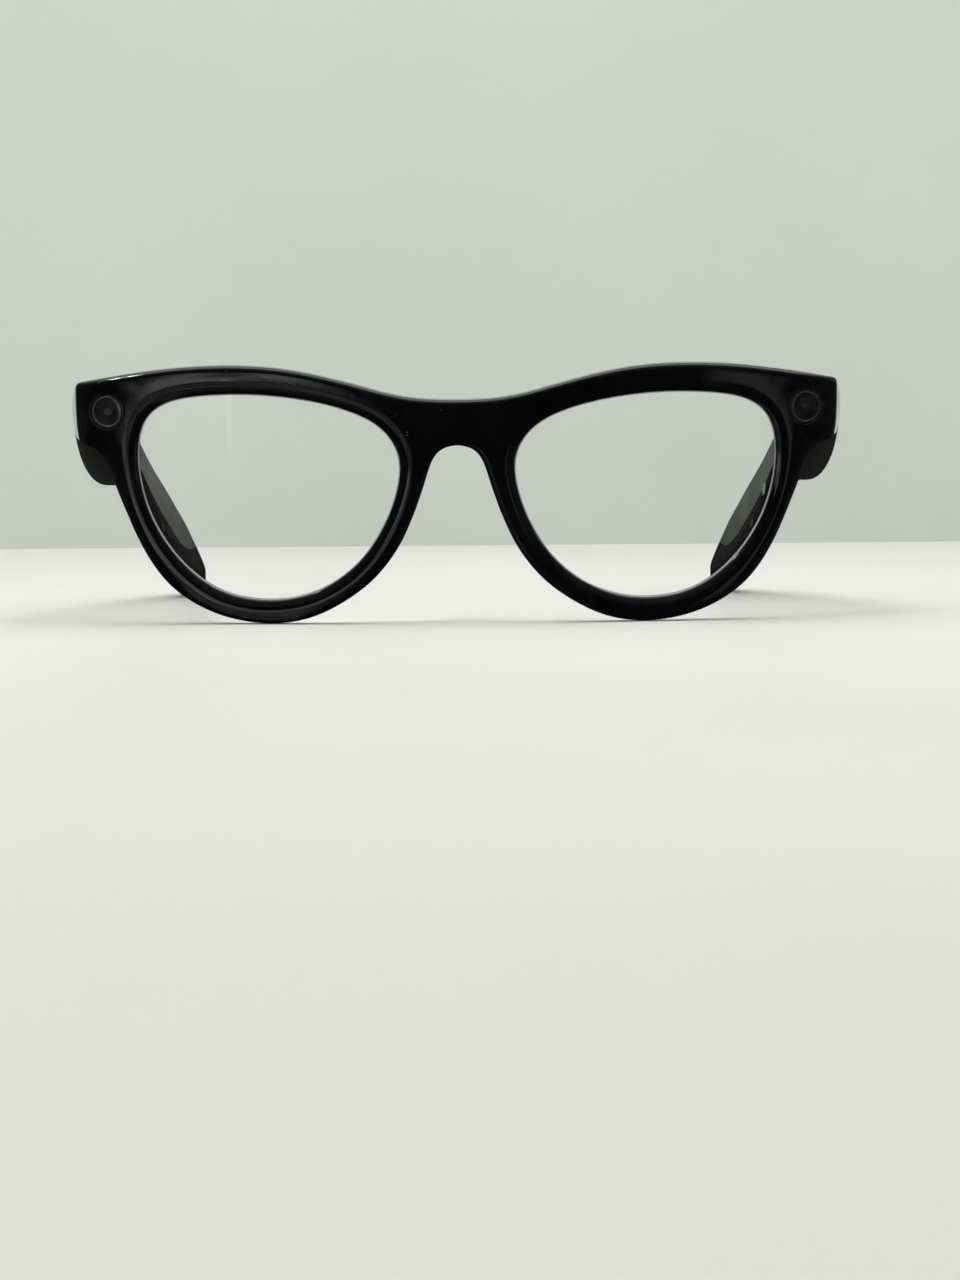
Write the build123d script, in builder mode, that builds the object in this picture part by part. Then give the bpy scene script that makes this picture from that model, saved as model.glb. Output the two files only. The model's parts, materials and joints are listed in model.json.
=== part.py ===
from build123d import *
import os
from math import sin, cos, tan, radians, sqrt

# Smart glasses: thick cat-eye front with a camera and an indicator light in its
# endpieces, and two electronics-filled temples on pin hinges.
#
# Row frame: +Z up, +X towards the wearer's left temple, +Y from the front towards
# the temple tips.  The glasses stand unfolded on their rims and temple tips, and
# the origin is the bottom centre of their box.  Lengths are in millimetres.

# ------------------------------------------------------------------ dimensions
TILT = 6.0              # the front leans forward by this many degrees
R_FRONT = 260.0         # the front's outer surface is part of an upright cylinder
RIM_T = 4.6             # thickness of the rims
LIFT = 25.795           # height of the front's own origin above the ground
Y_MID = 69.505           # distance from the front's apex to the middle of the box

BACK_S = 17.0           # back face of the endpieces, behind the front's apex
ROOT_S = 17.3           # front face of the temples
HINGE_X, HINGE_S = 65.2, 19.5
KNUCKLE_R, PIN_R, PIN_GAP = 1.7, 0.75, 0.05
LEAF_Z0, LEAF_Z1 = 36.0, 42.4
FRONT_SCREWS = [(67.95, 37.05), (70.2, 37.05)]

LENS_W0, LENS_W1 = 1.5, 3.4     # depth of the lens's front and back surfaces
GROOVE = 0.80                   # depth of the lens groove in the rim
LENS_EDGE = 0.68

SLOPE = 13.75           # the temples drop by this many degrees
WALL = 1.5
COVER_T = 1.2

CIRCLE_X, CIRCLE_V = 67.85, 14.8        # camera and light centres on the front
RING_RO, RING_RI, WINDOW_R = 3.5, 3.0, 2.95
RING_T = 1.1

BUTTON_L, BUTTON_W, BUTTON_TRAVEL = 10.0, 3.0, 0.5
SLIDER_L, SLIDER_W, SLIDER_TRAVEL = 5.0, 2.1, 2.0

os.makedirs("parts", exist_ok=True)


# ------------------------------------------------------------------ placement
def Y(s):
    """Row-frame y of a station s millimetres behind the front's apex."""
    return s - Y_MID


ct, st = cos(radians(TILT)), sin(radians(TILT))
V = Vector(0, -st, ct)              # up along the front
N = Vector(0, -ct, -st)             # out of the front
APEX = Vector(0, Y(0), LIFT)
CENTRE = APEX - N * R_FRONT
FRONT = Plane(origin=APEX, x_dir=(1, 0, 0), z_dir=N)
BARREL = Location(Plane(origin=CENTRE, x_dir=-N, z_dir=V))
TALL = 160.0            # height of the cylinders that cut the curved surfaces

ca, sa = cos(radians(SLOPE)), sin(radians(SLOPE))
LONG = Vector(0, ca, -sa)           # along a temple, towards its tip
UP = Vector(0, sa, ca)              # square to the temple's top edge


def station(s):
    """Cross plane at a station; its sketch axes are X and Z."""
    return Plane(origin=(0, Y(s), 0), x_dir=(1, 0, 0), z_dir=(0, -1, 0))


def side_plane(x):
    """Upright plane across X; its sketch axes are Y and Z."""
    return Plane(origin=(x, 0, 0), x_dir=(0, 1, 0), z_dir=(1, 0, 0))


def along_plane(x, s, z):
    """Upright plane across X, with its sketch axes along and square to a temple."""
    return Plane(origin=(x, Y(s), z), x_dir=LONG, z_dir=(1, 0, 0))


def face_plane(x, v, depth=0.0):
    """Plane square to the front's surface at (x, v), sunk by depth."""
    h = sqrt(R_FRONT**2 - x * x)
    n = Vector(x, 0, 0) * (1 / R_FRONT) + N * (h / R_FRONT)
    p = CENTRE + n * (R_FRONT - depth) + V * v
    return Plane(origin=p, x_dir=V.cross(n), z_dir=n)


# ------------------------------------------------------------------ outlines
# Half of the front's outline, on its own plane: the brow, the endpiece's side,
# and from there round the rim to the top of the nose arch.
BROW = [(0, 17.13), (5, 17.26), (10, 17.78), (15, 18.88), (20, 20.24), (25, 21.5), (30, 22.55), (36, 23.38),
        (42, 23.7), (48, 23.63), (54, 23.24), (60, 22.53), (66, 21.61), (74.3, 20.14)]
SIDE = [(74.3, 20.14), (74.38, 17.5), (74.34, 14.6), (74.15, 11.6), (73.62, 8.5)]
RIM = [(73.62, 8.5), (71.3, 7.7), (69.55, 6.3), (68.35, 4.4), (67.4, 2.1), (66.1, -1.3), (64.9, -4.3), (63.75, -7.1),
       (62.4, -10.1), (60.7, -13.3), (58.7, -16.3), (56.4, -18.95), (53.7, -21.15), (50.5, -23.05), (46.8, -24.6),
       (42.9, -25.62), (38.7, -26.15), (34.5, -26.12), (30.7, -25.55), (27.1, -24.4), (23.7, -22.75), (20.7, -20.9),
       (18.0, -18.9), (15.7, -16.75), (13.6, -14.3), (11.8, -11.7), (10.3, -9.0), (9.0, -6.1), (7.85, -3.2),
       (6.85, -0.4), (5.9, 2.5), (5.05, 5.0), (4.0, 6.85), (2.2, 8.1), (0, 8.45)]
# One lens opening.
OPENING = [(11.0, 3.9), (11.55, 7.4), (13.35, 10.5), (16.1, 12.9), (19.5, 14.62), (23.0, 15.82), (26.7, 16.74),
           (30.5, 17.43), (34.4, 17.92), (38.2, 18.2), (42.0, 18.29), (45.8, 18.2), (49.6, 17.93), (53.3, 17.38),
           (56.9, 16.2), (59.8, 14.0), (61.4, 10.9), (61.98, 7.3), (61.95, 3.5), (61.35, -0.4), (60.3, -4.1),
           (58.7, -7.7), (56.7, -11.0), (54.3, -14.0), (51.6, -16.6), (48.6, -18.75), (45.4, -20.3), (42.0, -21.25),
           (38.4, -21.65), (34.7, -21.6), (31.0, -20.98), (27.4, -19.8), (23.9, -18.0), (20.8, -15.7), (18.1, -13.0),
           (15.9, -10.0), (14.1, -6.8), (12.6, -3.4), (11.5, 0.3)]
# Middle line of the wiring channel along the brow.
CHANNEL = [(0, 14.7), (6, 14.8), (12, 15.5), (18, 16.95), (24, 18.55), (30, 19.85), (36, 20.7), (42, 21.0),
           (48, 20.85), (54, 20.2), (60, 18.9), (65.0, 17.5)]


def grown(points, d):
    """A closed clockwise outline moved outwards by d."""
    out = []
    for i, (x, y) in enumerate(points):
        (xa, ya), (xb, yb) = points[i - 1], points[(i + 1) % len(points)]
        length = sqrt((xb - xa) ** 2 + (yb - ya) ** 2)
        out.append((x - d * (yb - ya) / length, y + d * (xb - xa) / length))
    return out


def mirrored(points):
    return [(-x, y) for x, y in reversed(points[1:])] + list(points)


# ------------------------------------------------------------------ the front's faces
with BuildSketch(FRONT.offset(2)) as outline:
    with BuildLine():
        brow = Spline(*BROW, tangents=[(1, 0), (0.985, -0.175)])
        side = Spline(*SIDE)
        rim = Spline(*RIM, tangents=[(-0.93, -0.36), (-1, 0)])
        Line(rim @ 1, brow @ 0)
    make_face()
    fillet(outline.vertices().sort_by(Axis.X)[-2:], radius=1.4)

with BuildSketch(FRONT.offset(2)) as opening:
    with BuildLine():
        Spline(*OPENING, periodic=True)
    make_face()

with BuildSketch(FRONT.offset(2)) as groove_face:
    with BuildLine():
        Spline(*grown(OPENING, GROOVE), periodic=True)
    make_face()

with BuildSketch(FRONT.offset(2)) as lens_face:
    with BuildLine():
        Spline(*grown(OPENING, LENS_EDGE), periodic=True)
    make_face()

with BuildSketch(FRONT.offset(2)) as channel_face:
    with BuildLine() as channel_line:
        Spline(*mirrored(CHANNEL))
    trace(channel_line.wires()[0], line_width=2.3)

with BuildSketch(FRONT.offset(2)) as brow_cover_face:
    with BuildLine() as brow_cover_line:
        Spline(*mirrored(CHANNEL[:-1]))
    trace(brow_cover_line.wires()[0], line_width=2.2)

with BuildSketch(FRONT.offset(2)) as flex_face:
    with BuildLine() as flex_line:
        Spline(*mirrored(CHANNEL))
    trace(flex_line.wires()[0], line_width=1.6)

# ------------------------------------------------------------------ front frame
with BuildPart() as half_plate:
    extrude(outline.sketch, amount=24, dir=-N)
    with Locations(BARREL):
        Cylinder(radius=R_FRONT, height=TALL, mode=Mode.INTERSECT)
        Cylinder(radius=R_FRONT - RIM_T, height=TALL, mode=Mode.SUBTRACT)
    extrude(opening.sketch, amount=24, dir=-N, mode=Mode.SUBTRACT)
    front_face = half_plate.faces().filter_by(GeomType.CYLINDER).sort_by(SortBy.AREA)[-2:].sort_by(Axis.Y)[0]
    fillet([e for w in front_face.inner_wires() for e in w.edges()], radius=1.5)

# The lens groove is a ring cut between two depths behind the rim's front.
with BuildPart() as groove_ring:
    extrude(groove_face.sketch, amount=24, dir=-N)
    with Locations(BARREL):
        Cylinder(radius=R_FRONT - LENS_W0 + 0.08, height=TALL, mode=Mode.INTERSECT)
        Cylinder(radius=R_FRONT - LENS_W1 - 0.08, height=TALL, mode=Mode.SUBTRACT)

# Solid behind the rim's outer corner: it carries the hinge, and the camera or the light.
ENDPIECE_FRONT = [(62.4, 35.0), (70.8, 35.0), (73.2, 35.9), (74.1, 40.5), (73.8, 46.2), (62.4, 47.9)]
ENDPIECE_BACK = [(62.6, 34.9), (72.6, 34.9), (74.9, 36.0), (75.8, 40.5), (75.2, 44.0), (62.6, 44.4)]
with BuildPart() as endpiece:
    with BuildSketch(station(9.0)):
        with BuildLine():
            Polyline(*ENDPIECE_FRONT, close=True)
        make_face()
    with BuildSketch(station(BACK_S)):
        with BuildLine():
            Polyline(*ENDPIECE_BACK, close=True)
        make_face()
    loft(ruled=True)
    with Locations(BARREL):
        Cylinder(radius=R_FRONT - 1.0, height=TALL, mode=Mode.INTERSECT)

CAV_X, CAV_Z = (64.2, 71.9), (38.2, 43.5)
POCKET_X, POCKET_Z = (63.3, 73.6), (35.9, 43.2)
with BuildPart() as half_front:
    add(half_plate.part)
    add(groove_ring.part, mode=Mode.SUBTRACT)
    add(endpiece.part)
    # space for the module behind the ring
    with BuildSketch(station(15.2)):
        with Locations(((CAV_X[0] + CAV_X[1]) / 2, (CAV_Z[0] + CAV_Z[1]) / 2)):
            Rectangle(CAV_X[1] - CAV_X[0], CAV_Z[1] - CAV_Z[0])
    extrude(amount=4.0, mode=Mode.SUBTRACT)
    # recess in the back face for the cover and the hinge leaf
    with BuildSketch(station(BACK_S + 0.5)):
        with Locations(((POCKET_X[0] + POCKET_X[1]) / 2, (POCKET_Z[0] + POCKET_Z[1]) / 2)):
            RectangleRounded(POCKET_X[1] - POCKET_X[0], POCKET_Z[1] - POCKET_Z[0], 0.6)
    extrude(amount=2.5, mode=Mode.SUBTRACT)
    # recess for the ring, and the bore behind it
    with BuildSketch(face_plane(CIRCLE_X, CIRCLE_V, -1.0)):
        Circle(RING_RO)
    extrude(amount=-(RING_T + 1.0), mode=Mode.SUBTRACT)
    with BuildSketch(face_plane(CIRCLE_X, CIRCLE_V, 0.5)):
        Circle(2.6)
    extrude(amount=-4.5, mode=Mode.SUBTRACT)
    # tapped holes for the hinge screws
    with BuildSketch(station(15.5)):
        with Locations(*FRONT_SCREWS):
            Circle(0.55)
    extrude(amount=3.2, mode=Mode.SUBTRACT)

with BuildPart() as channel_cut:
    extrude(channel_face.sketch, amount=24, dir=-N)
    with Locations(BARREL):
        Cylinder(radius=R_FRONT - RIM_T + 1.7, height=TALL, mode=Mode.INTERSECT)
        Cylinder(radius=R_FRONT - RIM_T - 0.4, height=TALL, mode=Mode.SUBTRACT)

with BuildPart() as front_frame:
    add(half_front.part)
    mirror(about=Plane.YZ)
    add(channel_cut.part, mode=Mode.SUBTRACT)
    # seats in the bridge's back: contacts, magnets and the microphone with its port
    with BuildSketch(FRONT.offset(-RIM_T - 1)):
        with Locations((3.4, 11.4), (-3.4, 11.4)):
            Circle(0.9)
    extrude(amount=2.6, mode=Mode.SUBTRACT)
    with BuildSketch(FRONT.offset(-RIM_T - 1)):
        with Locations((7.2, 12.0), (-7.2, 12.0)):
            Circle(1.2)
    extrude(amount=2.6, mode=Mode.SUBTRACT)
    with BuildSketch(FRONT.offset(-RIM_T - 1)):
        with Locations((0, 11.4)):
            Rectangle(2.6, 1.8)
    extrude(amount=2.2, mode=Mode.SUBTRACT)

# ------------------------------------------------------------------ front pieces
with BuildPart() as lens_left:
    extrude(lens_face.sketch, amount=24, dir=-N)
    with Locations(BARREL):
        Cylinder(radius=R_FRONT - LENS_W0, height=TALL, mode=Mode.INTERSECT)
        Cylinder(radius=R_FRONT - LENS_W1, height=TALL, mode=Mode.SUBTRACT)
with BuildPart() as lens_right:
    mirror(lens_left.part, about=Plane.YZ)

with BuildPart() as brow_back_cover:
    extrude(brow_cover_face.sketch, amount=24, dir=-N)
    with Locations(BARREL):
        Cylinder(radius=R_FRONT - RIM_T + 0.9, height=TALL, mode=Mode.INTERSECT)
        Cylinder(radius=R_FRONT - RIM_T, height=TALL, mode=Mode.SUBTRACT)
with BuildPart() as front_flex_cable:
    extrude(flex_face.sketch, amount=24, dir=-N)
    with Locations(BARREL):
        Cylinder(radius=R_FRONT - RIM_T + 1.5, height=TALL, mode=Mode.INTERSECT)
        Cylinder(radius=R_FRONT - RIM_T + 1.2, height=TALL, mode=Mode.SUBTRACT)

# Ring, window and module of the camera; the light has the same ring and window.
with BuildPart() as camera_bezel:
    with BuildSketch(face_plane(CIRCLE_X, CIRCLE_V, RING_T)):
        Circle(RING_RO - 0.02)
        Circle(RING_RI, mode=Mode.SUBTRACT)
    extrude(amount=RING_T - 0.1)
    chamfer(camera_bezel.edges().filter_by(GeomType.CIRCLE).sort_by(Axis.Y)[:2].sort_by(SortBy.RADIUS)[:1], length=0.2)
with BuildPart() as camera_window:
    with BuildSketch(face_plane(CIRCLE_X, CIRCLE_V, RING_T)):
        Circle(WINDOW_R)
    extrude(amount=RING_T - 0.35)
with BuildPart() as camera_module:
    with BuildSketch(station(15.0)):
        with Locations((68.0, 40.85)):
            RectangleRounded(6.2, 4.8, 0.4)
    extrude(amount=1.6)
    with BuildSketch(station(13.6)):
        with Locations((68.0, 40.9)):
            Circle(2.25)
    extrude(amount=2.3)
    with BuildSketch(station(11.4)):
        with Locations((67.5, 40.9)):
            Circle(1.5)
    extrude(amount=0.9)
with BuildPart() as led_board:
    with BuildSketch(station(14.9)):
        with Locations((-68.0, 40.85)):
            RectangleRounded(6.6, 4.8, 0.3)
    extrude(amount=0.8)
    with BuildSketch(station(14.2)):
        with Locations((-68.0, 40.8)):
            Rectangle(2.6, 2.6)
    extrude(amount=1.2)
with BuildPart() as led_bezel:
    mirror(camera_bezel.part, about=Plane.YZ)
with BuildPart() as led_window:
    mirror(camera_window.part, about=Plane.YZ)

# Hinge: a leaf with two knuckles in the endpiece, one with a single knuckle on the
# temple, and a headed pin that is tight in the front leaf.
K_END = (LEAF_Z1 - LEAF_Z0 - 2.8) / 2       # height of each front knuckle
with BuildPart() as hinge_front_leaf_left:
    with BuildSketch(station(BACK_S)):
        with Locations(((63.5 + 71.2) / 2, (LEAF_Z0 + LEAF_Z1) / 2)):
            RectangleRounded(71.2 - 63.5, LEAF_Z1 - LEAF_Z0, 0.5)
        with Locations(*FRONT_SCREWS):
            Circle(0.62, mode=Mode.SUBTRACT)
    extrude(amount=1.0)
    with BuildSketch(station(BACK_S)):
        with Locations(*FRONT_SCREWS):
            Circle(0.95)
    extrude(amount=0.35, mode=Mode.SUBTRACT)
    for z0 in (LEAF_Z0, LEAF_Z1 - K_END):
        with BuildSketch(Plane.XY.offset(z0)):
            with Locations((HINGE_X, Y(HINGE_S))):
                Circle(KNUCKLE_R)
            with Locations((HINGE_X, (Y(HINGE_S) + Y(BACK_S - 0.4)) / 2)):
                Rectangle(2 * KNUCKLE_R, HINGE_S - BACK_S + 0.4)
        extrude(amount=K_END)
    with BuildSketch(Plane.XY.offset(LEAF_Z0 - 1)):
        with Locations((HINGE_X, Y(HINGE_S))):
            Circle(PIN_R)
    extrude(amount=LEAF_Z1 - LEAF_Z0 + 2, mode=Mode.SUBTRACT)
with BuildPart() as hinge_pin_left:
    with BuildSketch(Plane.XY.offset(LEAF_Z0 - 0.2)):
        with Locations((HINGE_X, Y(HINGE_S))):
            Circle(PIN_R)
    extrude(amount=LEAF_Z1 - LEAF_Z0 + 0.2)
    with BuildSketch(Plane.XY.offset(LEAF_Z1)):
        with Locations((HINGE_X, Y(HINGE_S))):
            Circle(1.25)
    extrude(amount=0.55)
    with BuildSketch(Plane.XY.offset(LEAF_Z1 + 0.25)):
        with Locations((HINGE_X, Y(HINGE_S))):
            Rectangle(1.8, 0.35)
    extrude(amount=0.5, mode=Mode.SUBTRACT)
with BuildPart() as hinge_front_leaf_right:
    mirror(hinge_front_leaf_left.part, about=Plane.YZ)
with BuildPart() as hinge_pin_right:
    mirror(hinge_pin_left.part, about=Plane.YZ)
with BuildPart() as endpiece_cover_left:
    with BuildSketch(station(BACK_S)):
        with Locations(((POCKET_X[0] + POCKET_X[1]) / 2, (POCKET_Z[0] + POCKET_Z[1]) / 2)):
            RectangleRounded(POCKET_X[1] - POCKET_X[0] - 0.1, POCKET_Z[1] - POCKET_Z[0] - 0.1, 0.55)
    extrude(amount=1.95)
    with BuildSketch(station(BACK_S + 0.5)):
        with Locations(((63.5 + 71.2) / 2, (LEAF_Z0 + LEAF_Z1) / 2)):
            Rectangle(71.2 - 63.5 + 0.1, LEAF_Z1 - LEAF_Z0 + 0.1)
    extrude(amount=1.5, mode=Mode.SUBTRACT)
    with BuildSketch(station(BACK_S)):
        with Locations(*FRONT_SCREWS):
            Circle(0.62)
    extrude(amount=3, mode=Mode.SUBTRACT)
with BuildPart() as endpiece_cover_right:
    mirror(endpiece_cover_left.part, about=Plane.YZ)
with BuildPart() as front_hinge_screws:
    with BuildSketch(station(BACK_S)):
        with Locations(*FRONT_SCREWS):
            Circle(0.9)
    extrude(amount=0.32)
    with BuildSketch(station(BACK_S)):
        with Locations(*FRONT_SCREWS):
            Circle(0.53)
    extrude(amount=4.4)
    mirror(about=Plane.YZ)

# Nose pads on the back of the rims, beside the bridge.
with BuildPart() as nose_pad_left:
    with BuildSketch(FRONT.offset(-RIM_T - 6.2)):
        with Locations(Location((10.55, -4.4, 0), (0, 0, -66))):
            Ellipse(3.0, 0.6)
    with BuildSketch(FRONT.offset(-RIM_T - 5.4)):
        with Locations(Location((10.6, -4.5, 0), (0, 0, -66))):
            Ellipse(5.0, 1.4)
    with BuildSketch(FRONT.offset(-RIM_T - 3.0)):
        with Locations(Location((10.7, -4.7, 0), (0, 0, -66))):
            Ellipse(6.4, 1.9)
    with BuildSketch(FRONT.offset(-RIM_T + 1.0)):
        with Locations(Location((10.8, -4.9, 0), (0, 0, -66))):
            Ellipse(7.4, 2.1)
    loft()
    with Locations(BARREL):
        Cylinder(radius=R_FRONT - RIM_T, height=TALL, mode=Mode.INTERSECT)
with BuildPart() as nose_pad_right:
    mirror(nose_pad_left.part, about=Plane.YZ)

with BuildPart() as charging_contacts:
    with BuildSketch(FRONT.offset(-RIM_T - 0.05)):
        with Locations((3.4, 11.4), (-3.4, 11.4)):
            Circle(0.88)
    extrude(amount=1.4)
with BuildPart() as charging_magnets:
    with BuildSketch(FRONT.offset(-RIM_T + 0.1)):
        with Locations((7.2, 12.0), (-7.2, 12.0)):
            Circle(1.15)
    extrude(amount=1.4)
with BuildPart() as bridge_microphone:
    with BuildSketch(FRONT.offset(-RIM_T + 0.05)):
        with Locations((0, 11.4)):
            Rectangle(2.5, 1.7)
        with Locations((0.5, 11.4)):
            Circle(0.25, mode=Mode.SUBTRACT)
    extrude(amount=1.0)

# ------------------------------------------------------------------ temples
# Sections of the left temple: station, inner and outer x, bottom and top z, width and
# height of the long rounding between the outer side and the bottom, and the radius of
# the other corners.
SECTIONS = [
    (17.3, 66.0, 75.5, 27.2, 44.1, 6.0, 10.2, 1.5),
    (27.0, 66.07, 74.99, 27.14, 41.73, 5.7, 8.84, 1.5),
    (37.0, 66.18, 74.25, 26.7, 39.29, 5.32, 7.83, 1.42),
    (47.0, 66.2, 73.45, 25.03, 36.84, 4.92, 7.19, 1.4),
    (57.0, 66.2, 72.91, 22.51, 34.38, 4.53, 6.44, 1.37),
    (67.0, 66.14, 72.59, 19.76, 31.93, 4.05, 5.71, 1.31),
    (77.0, 65.97, 72.27, 16.85, 29.52, 3.54, 4.94, 1.3),
    (87.0, 65.7, 71.8, 13.8, 27.15, 3.11, 4.2, 1.3),
    (97.0, 65.33, 71.34, 10.95, 24.49, 2.74, 3.58, 1.3),
    (107.0, 64.81, 70.82, 8.12, 21.46, 2.41, 3.05, 1.3),
    (116.0, 64.12, 70.11, 5.39, 18.32, 2.18, 2.66, 1.3),
    (124.0, 63.49, 69.23, 2.8, 14.95, 2.02, 2.34, 1.21),
    (131.0, 62.81, 68.09, 0.74, 11.62, 1.83, 2.04, 1.12),
    (136.5, 62.2, 67.0, 0.0, 8.6, 1.6, 1.8, 1.0),
    (139.3, 61.95, 66.2, 0.55, 6.8, 1.3, 1.4, 0.9),
    (140.8, 62.1, 65.3, 1.7, 5.2, 0.8, 0.9, 0.6),
]
LEAN, CROWN = 0.07, 0.012   # the outer side leans outwards to its top, and bulges
INNER = [(s, xi) for s, xi, *_ in SECTIONS]
# Lower and upper edges of the inner cover, which ends in a round nose at the ear bend.
BAND = [(31.8, 34.7), (39.0, 32.7), (46.0, 30.75), (58.0, 27.4), (70.0, 24.0), (82.0, 21.4 - 0.7), (94.0, 17.6),
        (104.0, 14.7), (110.0, 13.05), (116.0, 11.9), (122.0, 11.35), (126.5, 11.7), (128.0, 12.4)]
TOP = [(31.8, 40.1), (40.0, 38.1), (60.0, 33.2), (80.0, 28.3), (95.0, 24.5), (104.0, 21.9), (112.0, 19.4),
       (120.0, 16.3), (125.5, 14.0), (128.0, 12.4)]


def x_in(s):
    """The temple's inner x at a station."""
    for (s0, x0), (s1, x1) in zip(INNER, INNER[1:]):
        if s <= s1:
            return x0 + (x1 - x0) * (s - s0) / (s1 - s0)
    return INNER[-1][1]


def section(s):
    """The temple's section values at a station."""
    for low, high in zip(SECTIONS, SECTIONS[1:]):
        if low[0] <= s <= high[0]:
            t = (s - low[0]) / (high[0] - low[0])
            return [a + (b - a) * t for a, b in zip(low[1:], high[1:])]


with BuildPart() as temple_solid:
    for s, xi, xo, zb, zt, w, h, rc in SECTIONS:
        side_h = zt - rc - zb - h
        xt = xo + LEAN * side_h
        with BuildSketch(station(s)):
            with BuildLine():
                Line((xi, zb + rc), (xi, zt - rc))
                RadiusArc((xi, zt - rc), (xi + rc, zt), rc)
                Line((xi + rc, zt), (xt - rc, zt))
                RadiusArc((xt - rc, zt), (xt, zt - rc), rc)
                ThreePointArc((xt, zt - rc), ((xt + xo) / 2 + CROWN * side_h, zb + h + side_h / 2), (xo, zb + h))
                Bezier((xo, zb + h), (xo - 0.1 * w, zb + 0.49 * h), (xo - 0.455 * w, zb), (xo - w, zb))
                Line((xo - w, zb), (xi + rc, zb))
                RadiusArc((xi + rc, zb), (xi, zb + rc), rc)
            make_face()
    loft()

# Everything the inner cover takes: a prism through the temple's inner side, down to
# the cover's thickness.
with BuildPart() as cover_prism:
    with BuildSketch(side_plane(58)):
        with BuildLine():
            b0 = Spline(*[(Y(s), z) for s, z in BAND], tangents=[(0.963, -0.27), (0.15, 0.99)])
            t0 = Spline(*[(Y(s), z) for s, z in TOP], tangents=[(0.9713, -0.2377), (0.83, -0.56)])
            Line(b0 @ 0, t0 @ 0)
        make_face()
    extrude(amount=20)
    with BuildSketch(Plane.XY):
        with BuildLine():
            edge = Spline(*[(x + COVER_T, Y(s)) for s, x in INNER[:-2]])
            Polyline(edge @ 1, (50, Y(136)), (50, Y(17.3)), edge @ 0)
        make_face()
    extrude(amount=60, mode=Mode.INTERSECT)

# The hollow for the electronics; its lower outer corner is cut off like the shell's.
with BuildPart() as hollow:
    for s in (34.5, 40, 50, 60, 70, 80, 90, 104):
        xi, xo, zb, zt, w, h, rc = section(s)
        with BuildSketch(station(s)):
            with BuildLine():
                Polyline((xi + 1.0, zb + WALL + 0.1), (xi + 1.0, zt - WALL - 0.1), (xo - WALL, zt - WALL - 0.1),
                         (xo - WALL, zb + 0.8 * h), (xo - 0.45 * w - 1.3, zb + WALL + 0.1), close=True)
            make_face()
    loft(ruled=True)

# Metal strip that stiffens the tip.
with BuildPart() as core_strip:
    with BuildSketch(side_plane(55)):
        with BuildLine():
            Polyline((Y(106), 16.0), (Y(115), 13.2), (Y(125), 9.4), (Y(133), 6.0), (Y(133), 4.2), (Y(125), 7.4),
                     (Y(115), 11.1), (Y(106), 13.8), close=True)
        make_face()
    extrude(amount=20)
    with BuildSketch(Plane.XY):
        with BuildLine():
            Polyline((67.2, Y(106)), (66.6, Y(115)), (65.6, Y(125)), (64.6, Y(133)), (65.7, Y(133)), (66.7, Y(125)),
                     (67.7, Y(115)), (68.3, Y(106)), close=True)
        make_face()
    extrude(amount=40, mode=Mode.INTERSECT)

GRILLE_S, GRILLE_Z = 86.0, 17.2
MIC_S, MIC_X = 40.0, 68.6
with BuildPart() as temple_base:
    add(temple_solid.part)
    add(hollow.part, mode=Mode.SUBTRACT)
    add(cover_prism.part, mode=Mode.SUBTRACT)
    add(core_strip.part, mode=Mode.SUBTRACT)
    # clearance for the knuckles
    with BuildSketch(Plane.XY.offset(35.4)):
        with Locations((63.4, Y(19.0))):
            Rectangle(8.0, 5.5)
    extrude(amount=20, mode=Mode.SUBTRACT)
    # seat of the hinge leaf and its screw holes
    with BuildSketch(side_plane(67.25)):
        with Locations((Y((21.6 + 31.4) / 2), 37.4)):
            Rectangle(31.4 - 21.6, 6.6)
    extrude(amount=-4, mode=Mode.SUBTRACT)
    with BuildSketch(side_plane(66.0)):
        with Locations((Y(25.0), 36.2), (Y(29.0), 36.2)):
            Circle(0.55)
    extrude(amount=5.2, mode=Mode.SUBTRACT)
    # sound slot in the inner side, and the microphone's port in the bottom
    with BuildSketch(along_plane(63, GRILLE_S, GRILLE_Z)):
        SlotOverall(9.2, 2.0)
    extrude(amount=5, mode=Mode.SUBTRACT)
    with BuildSketch(Plane.XY.offset(24)):
        with Locations((MIC_X, Y(MIC_S))):
            Circle(0.4)
    extrude(amount=5, mode=Mode.SUBTRACT)

BUTTON_S, BUTTON_Z = 43.0, 37.8
button_plane = Plane(origin=(-69.8, Y(BUTTON_S), BUTTON_Z), x_dir=LONG, z_dir=UP)
SLIDER_S, SLIDER_ZC = 60.0, 25.0

with BuildPart() as temple_shell_left:
    add(temple_base.part)
    with BuildSketch(along_plane(64, SLIDER_S, SLIDER_ZC)):
        SlotOverall(SLIDER_L + SLIDER_TRAVEL + 0.4, SLIDER_W + 0.3)
    extrude(amount=4.5, mode=Mode.SUBTRACT)
with BuildPart() as temple_shell_right:
    mirror(temple_base.part, about=Plane.YZ)
    with BuildSketch(button_plane.offset(-4)):
        SlotOverall(BUTTON_L + 0.3, BUTTON_W + 0.3)
    extrude(amount=6, mode=Mode.SUBTRACT)

with BuildPart() as temple_inner_cover_left:
    add(temple_solid.part)
    add(cover_prism.part, mode=Mode.INTERSECT)
with BuildPart() as temple_inner_cover_right:
    mirror(temple_inner_cover_left.part, about=Plane.YZ)

with BuildPart() as temple_core_left:
    add(core_strip.part)
with BuildPart() as temple_core_right:
    mirror(core_strip.part, about=Plane.YZ)

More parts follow.
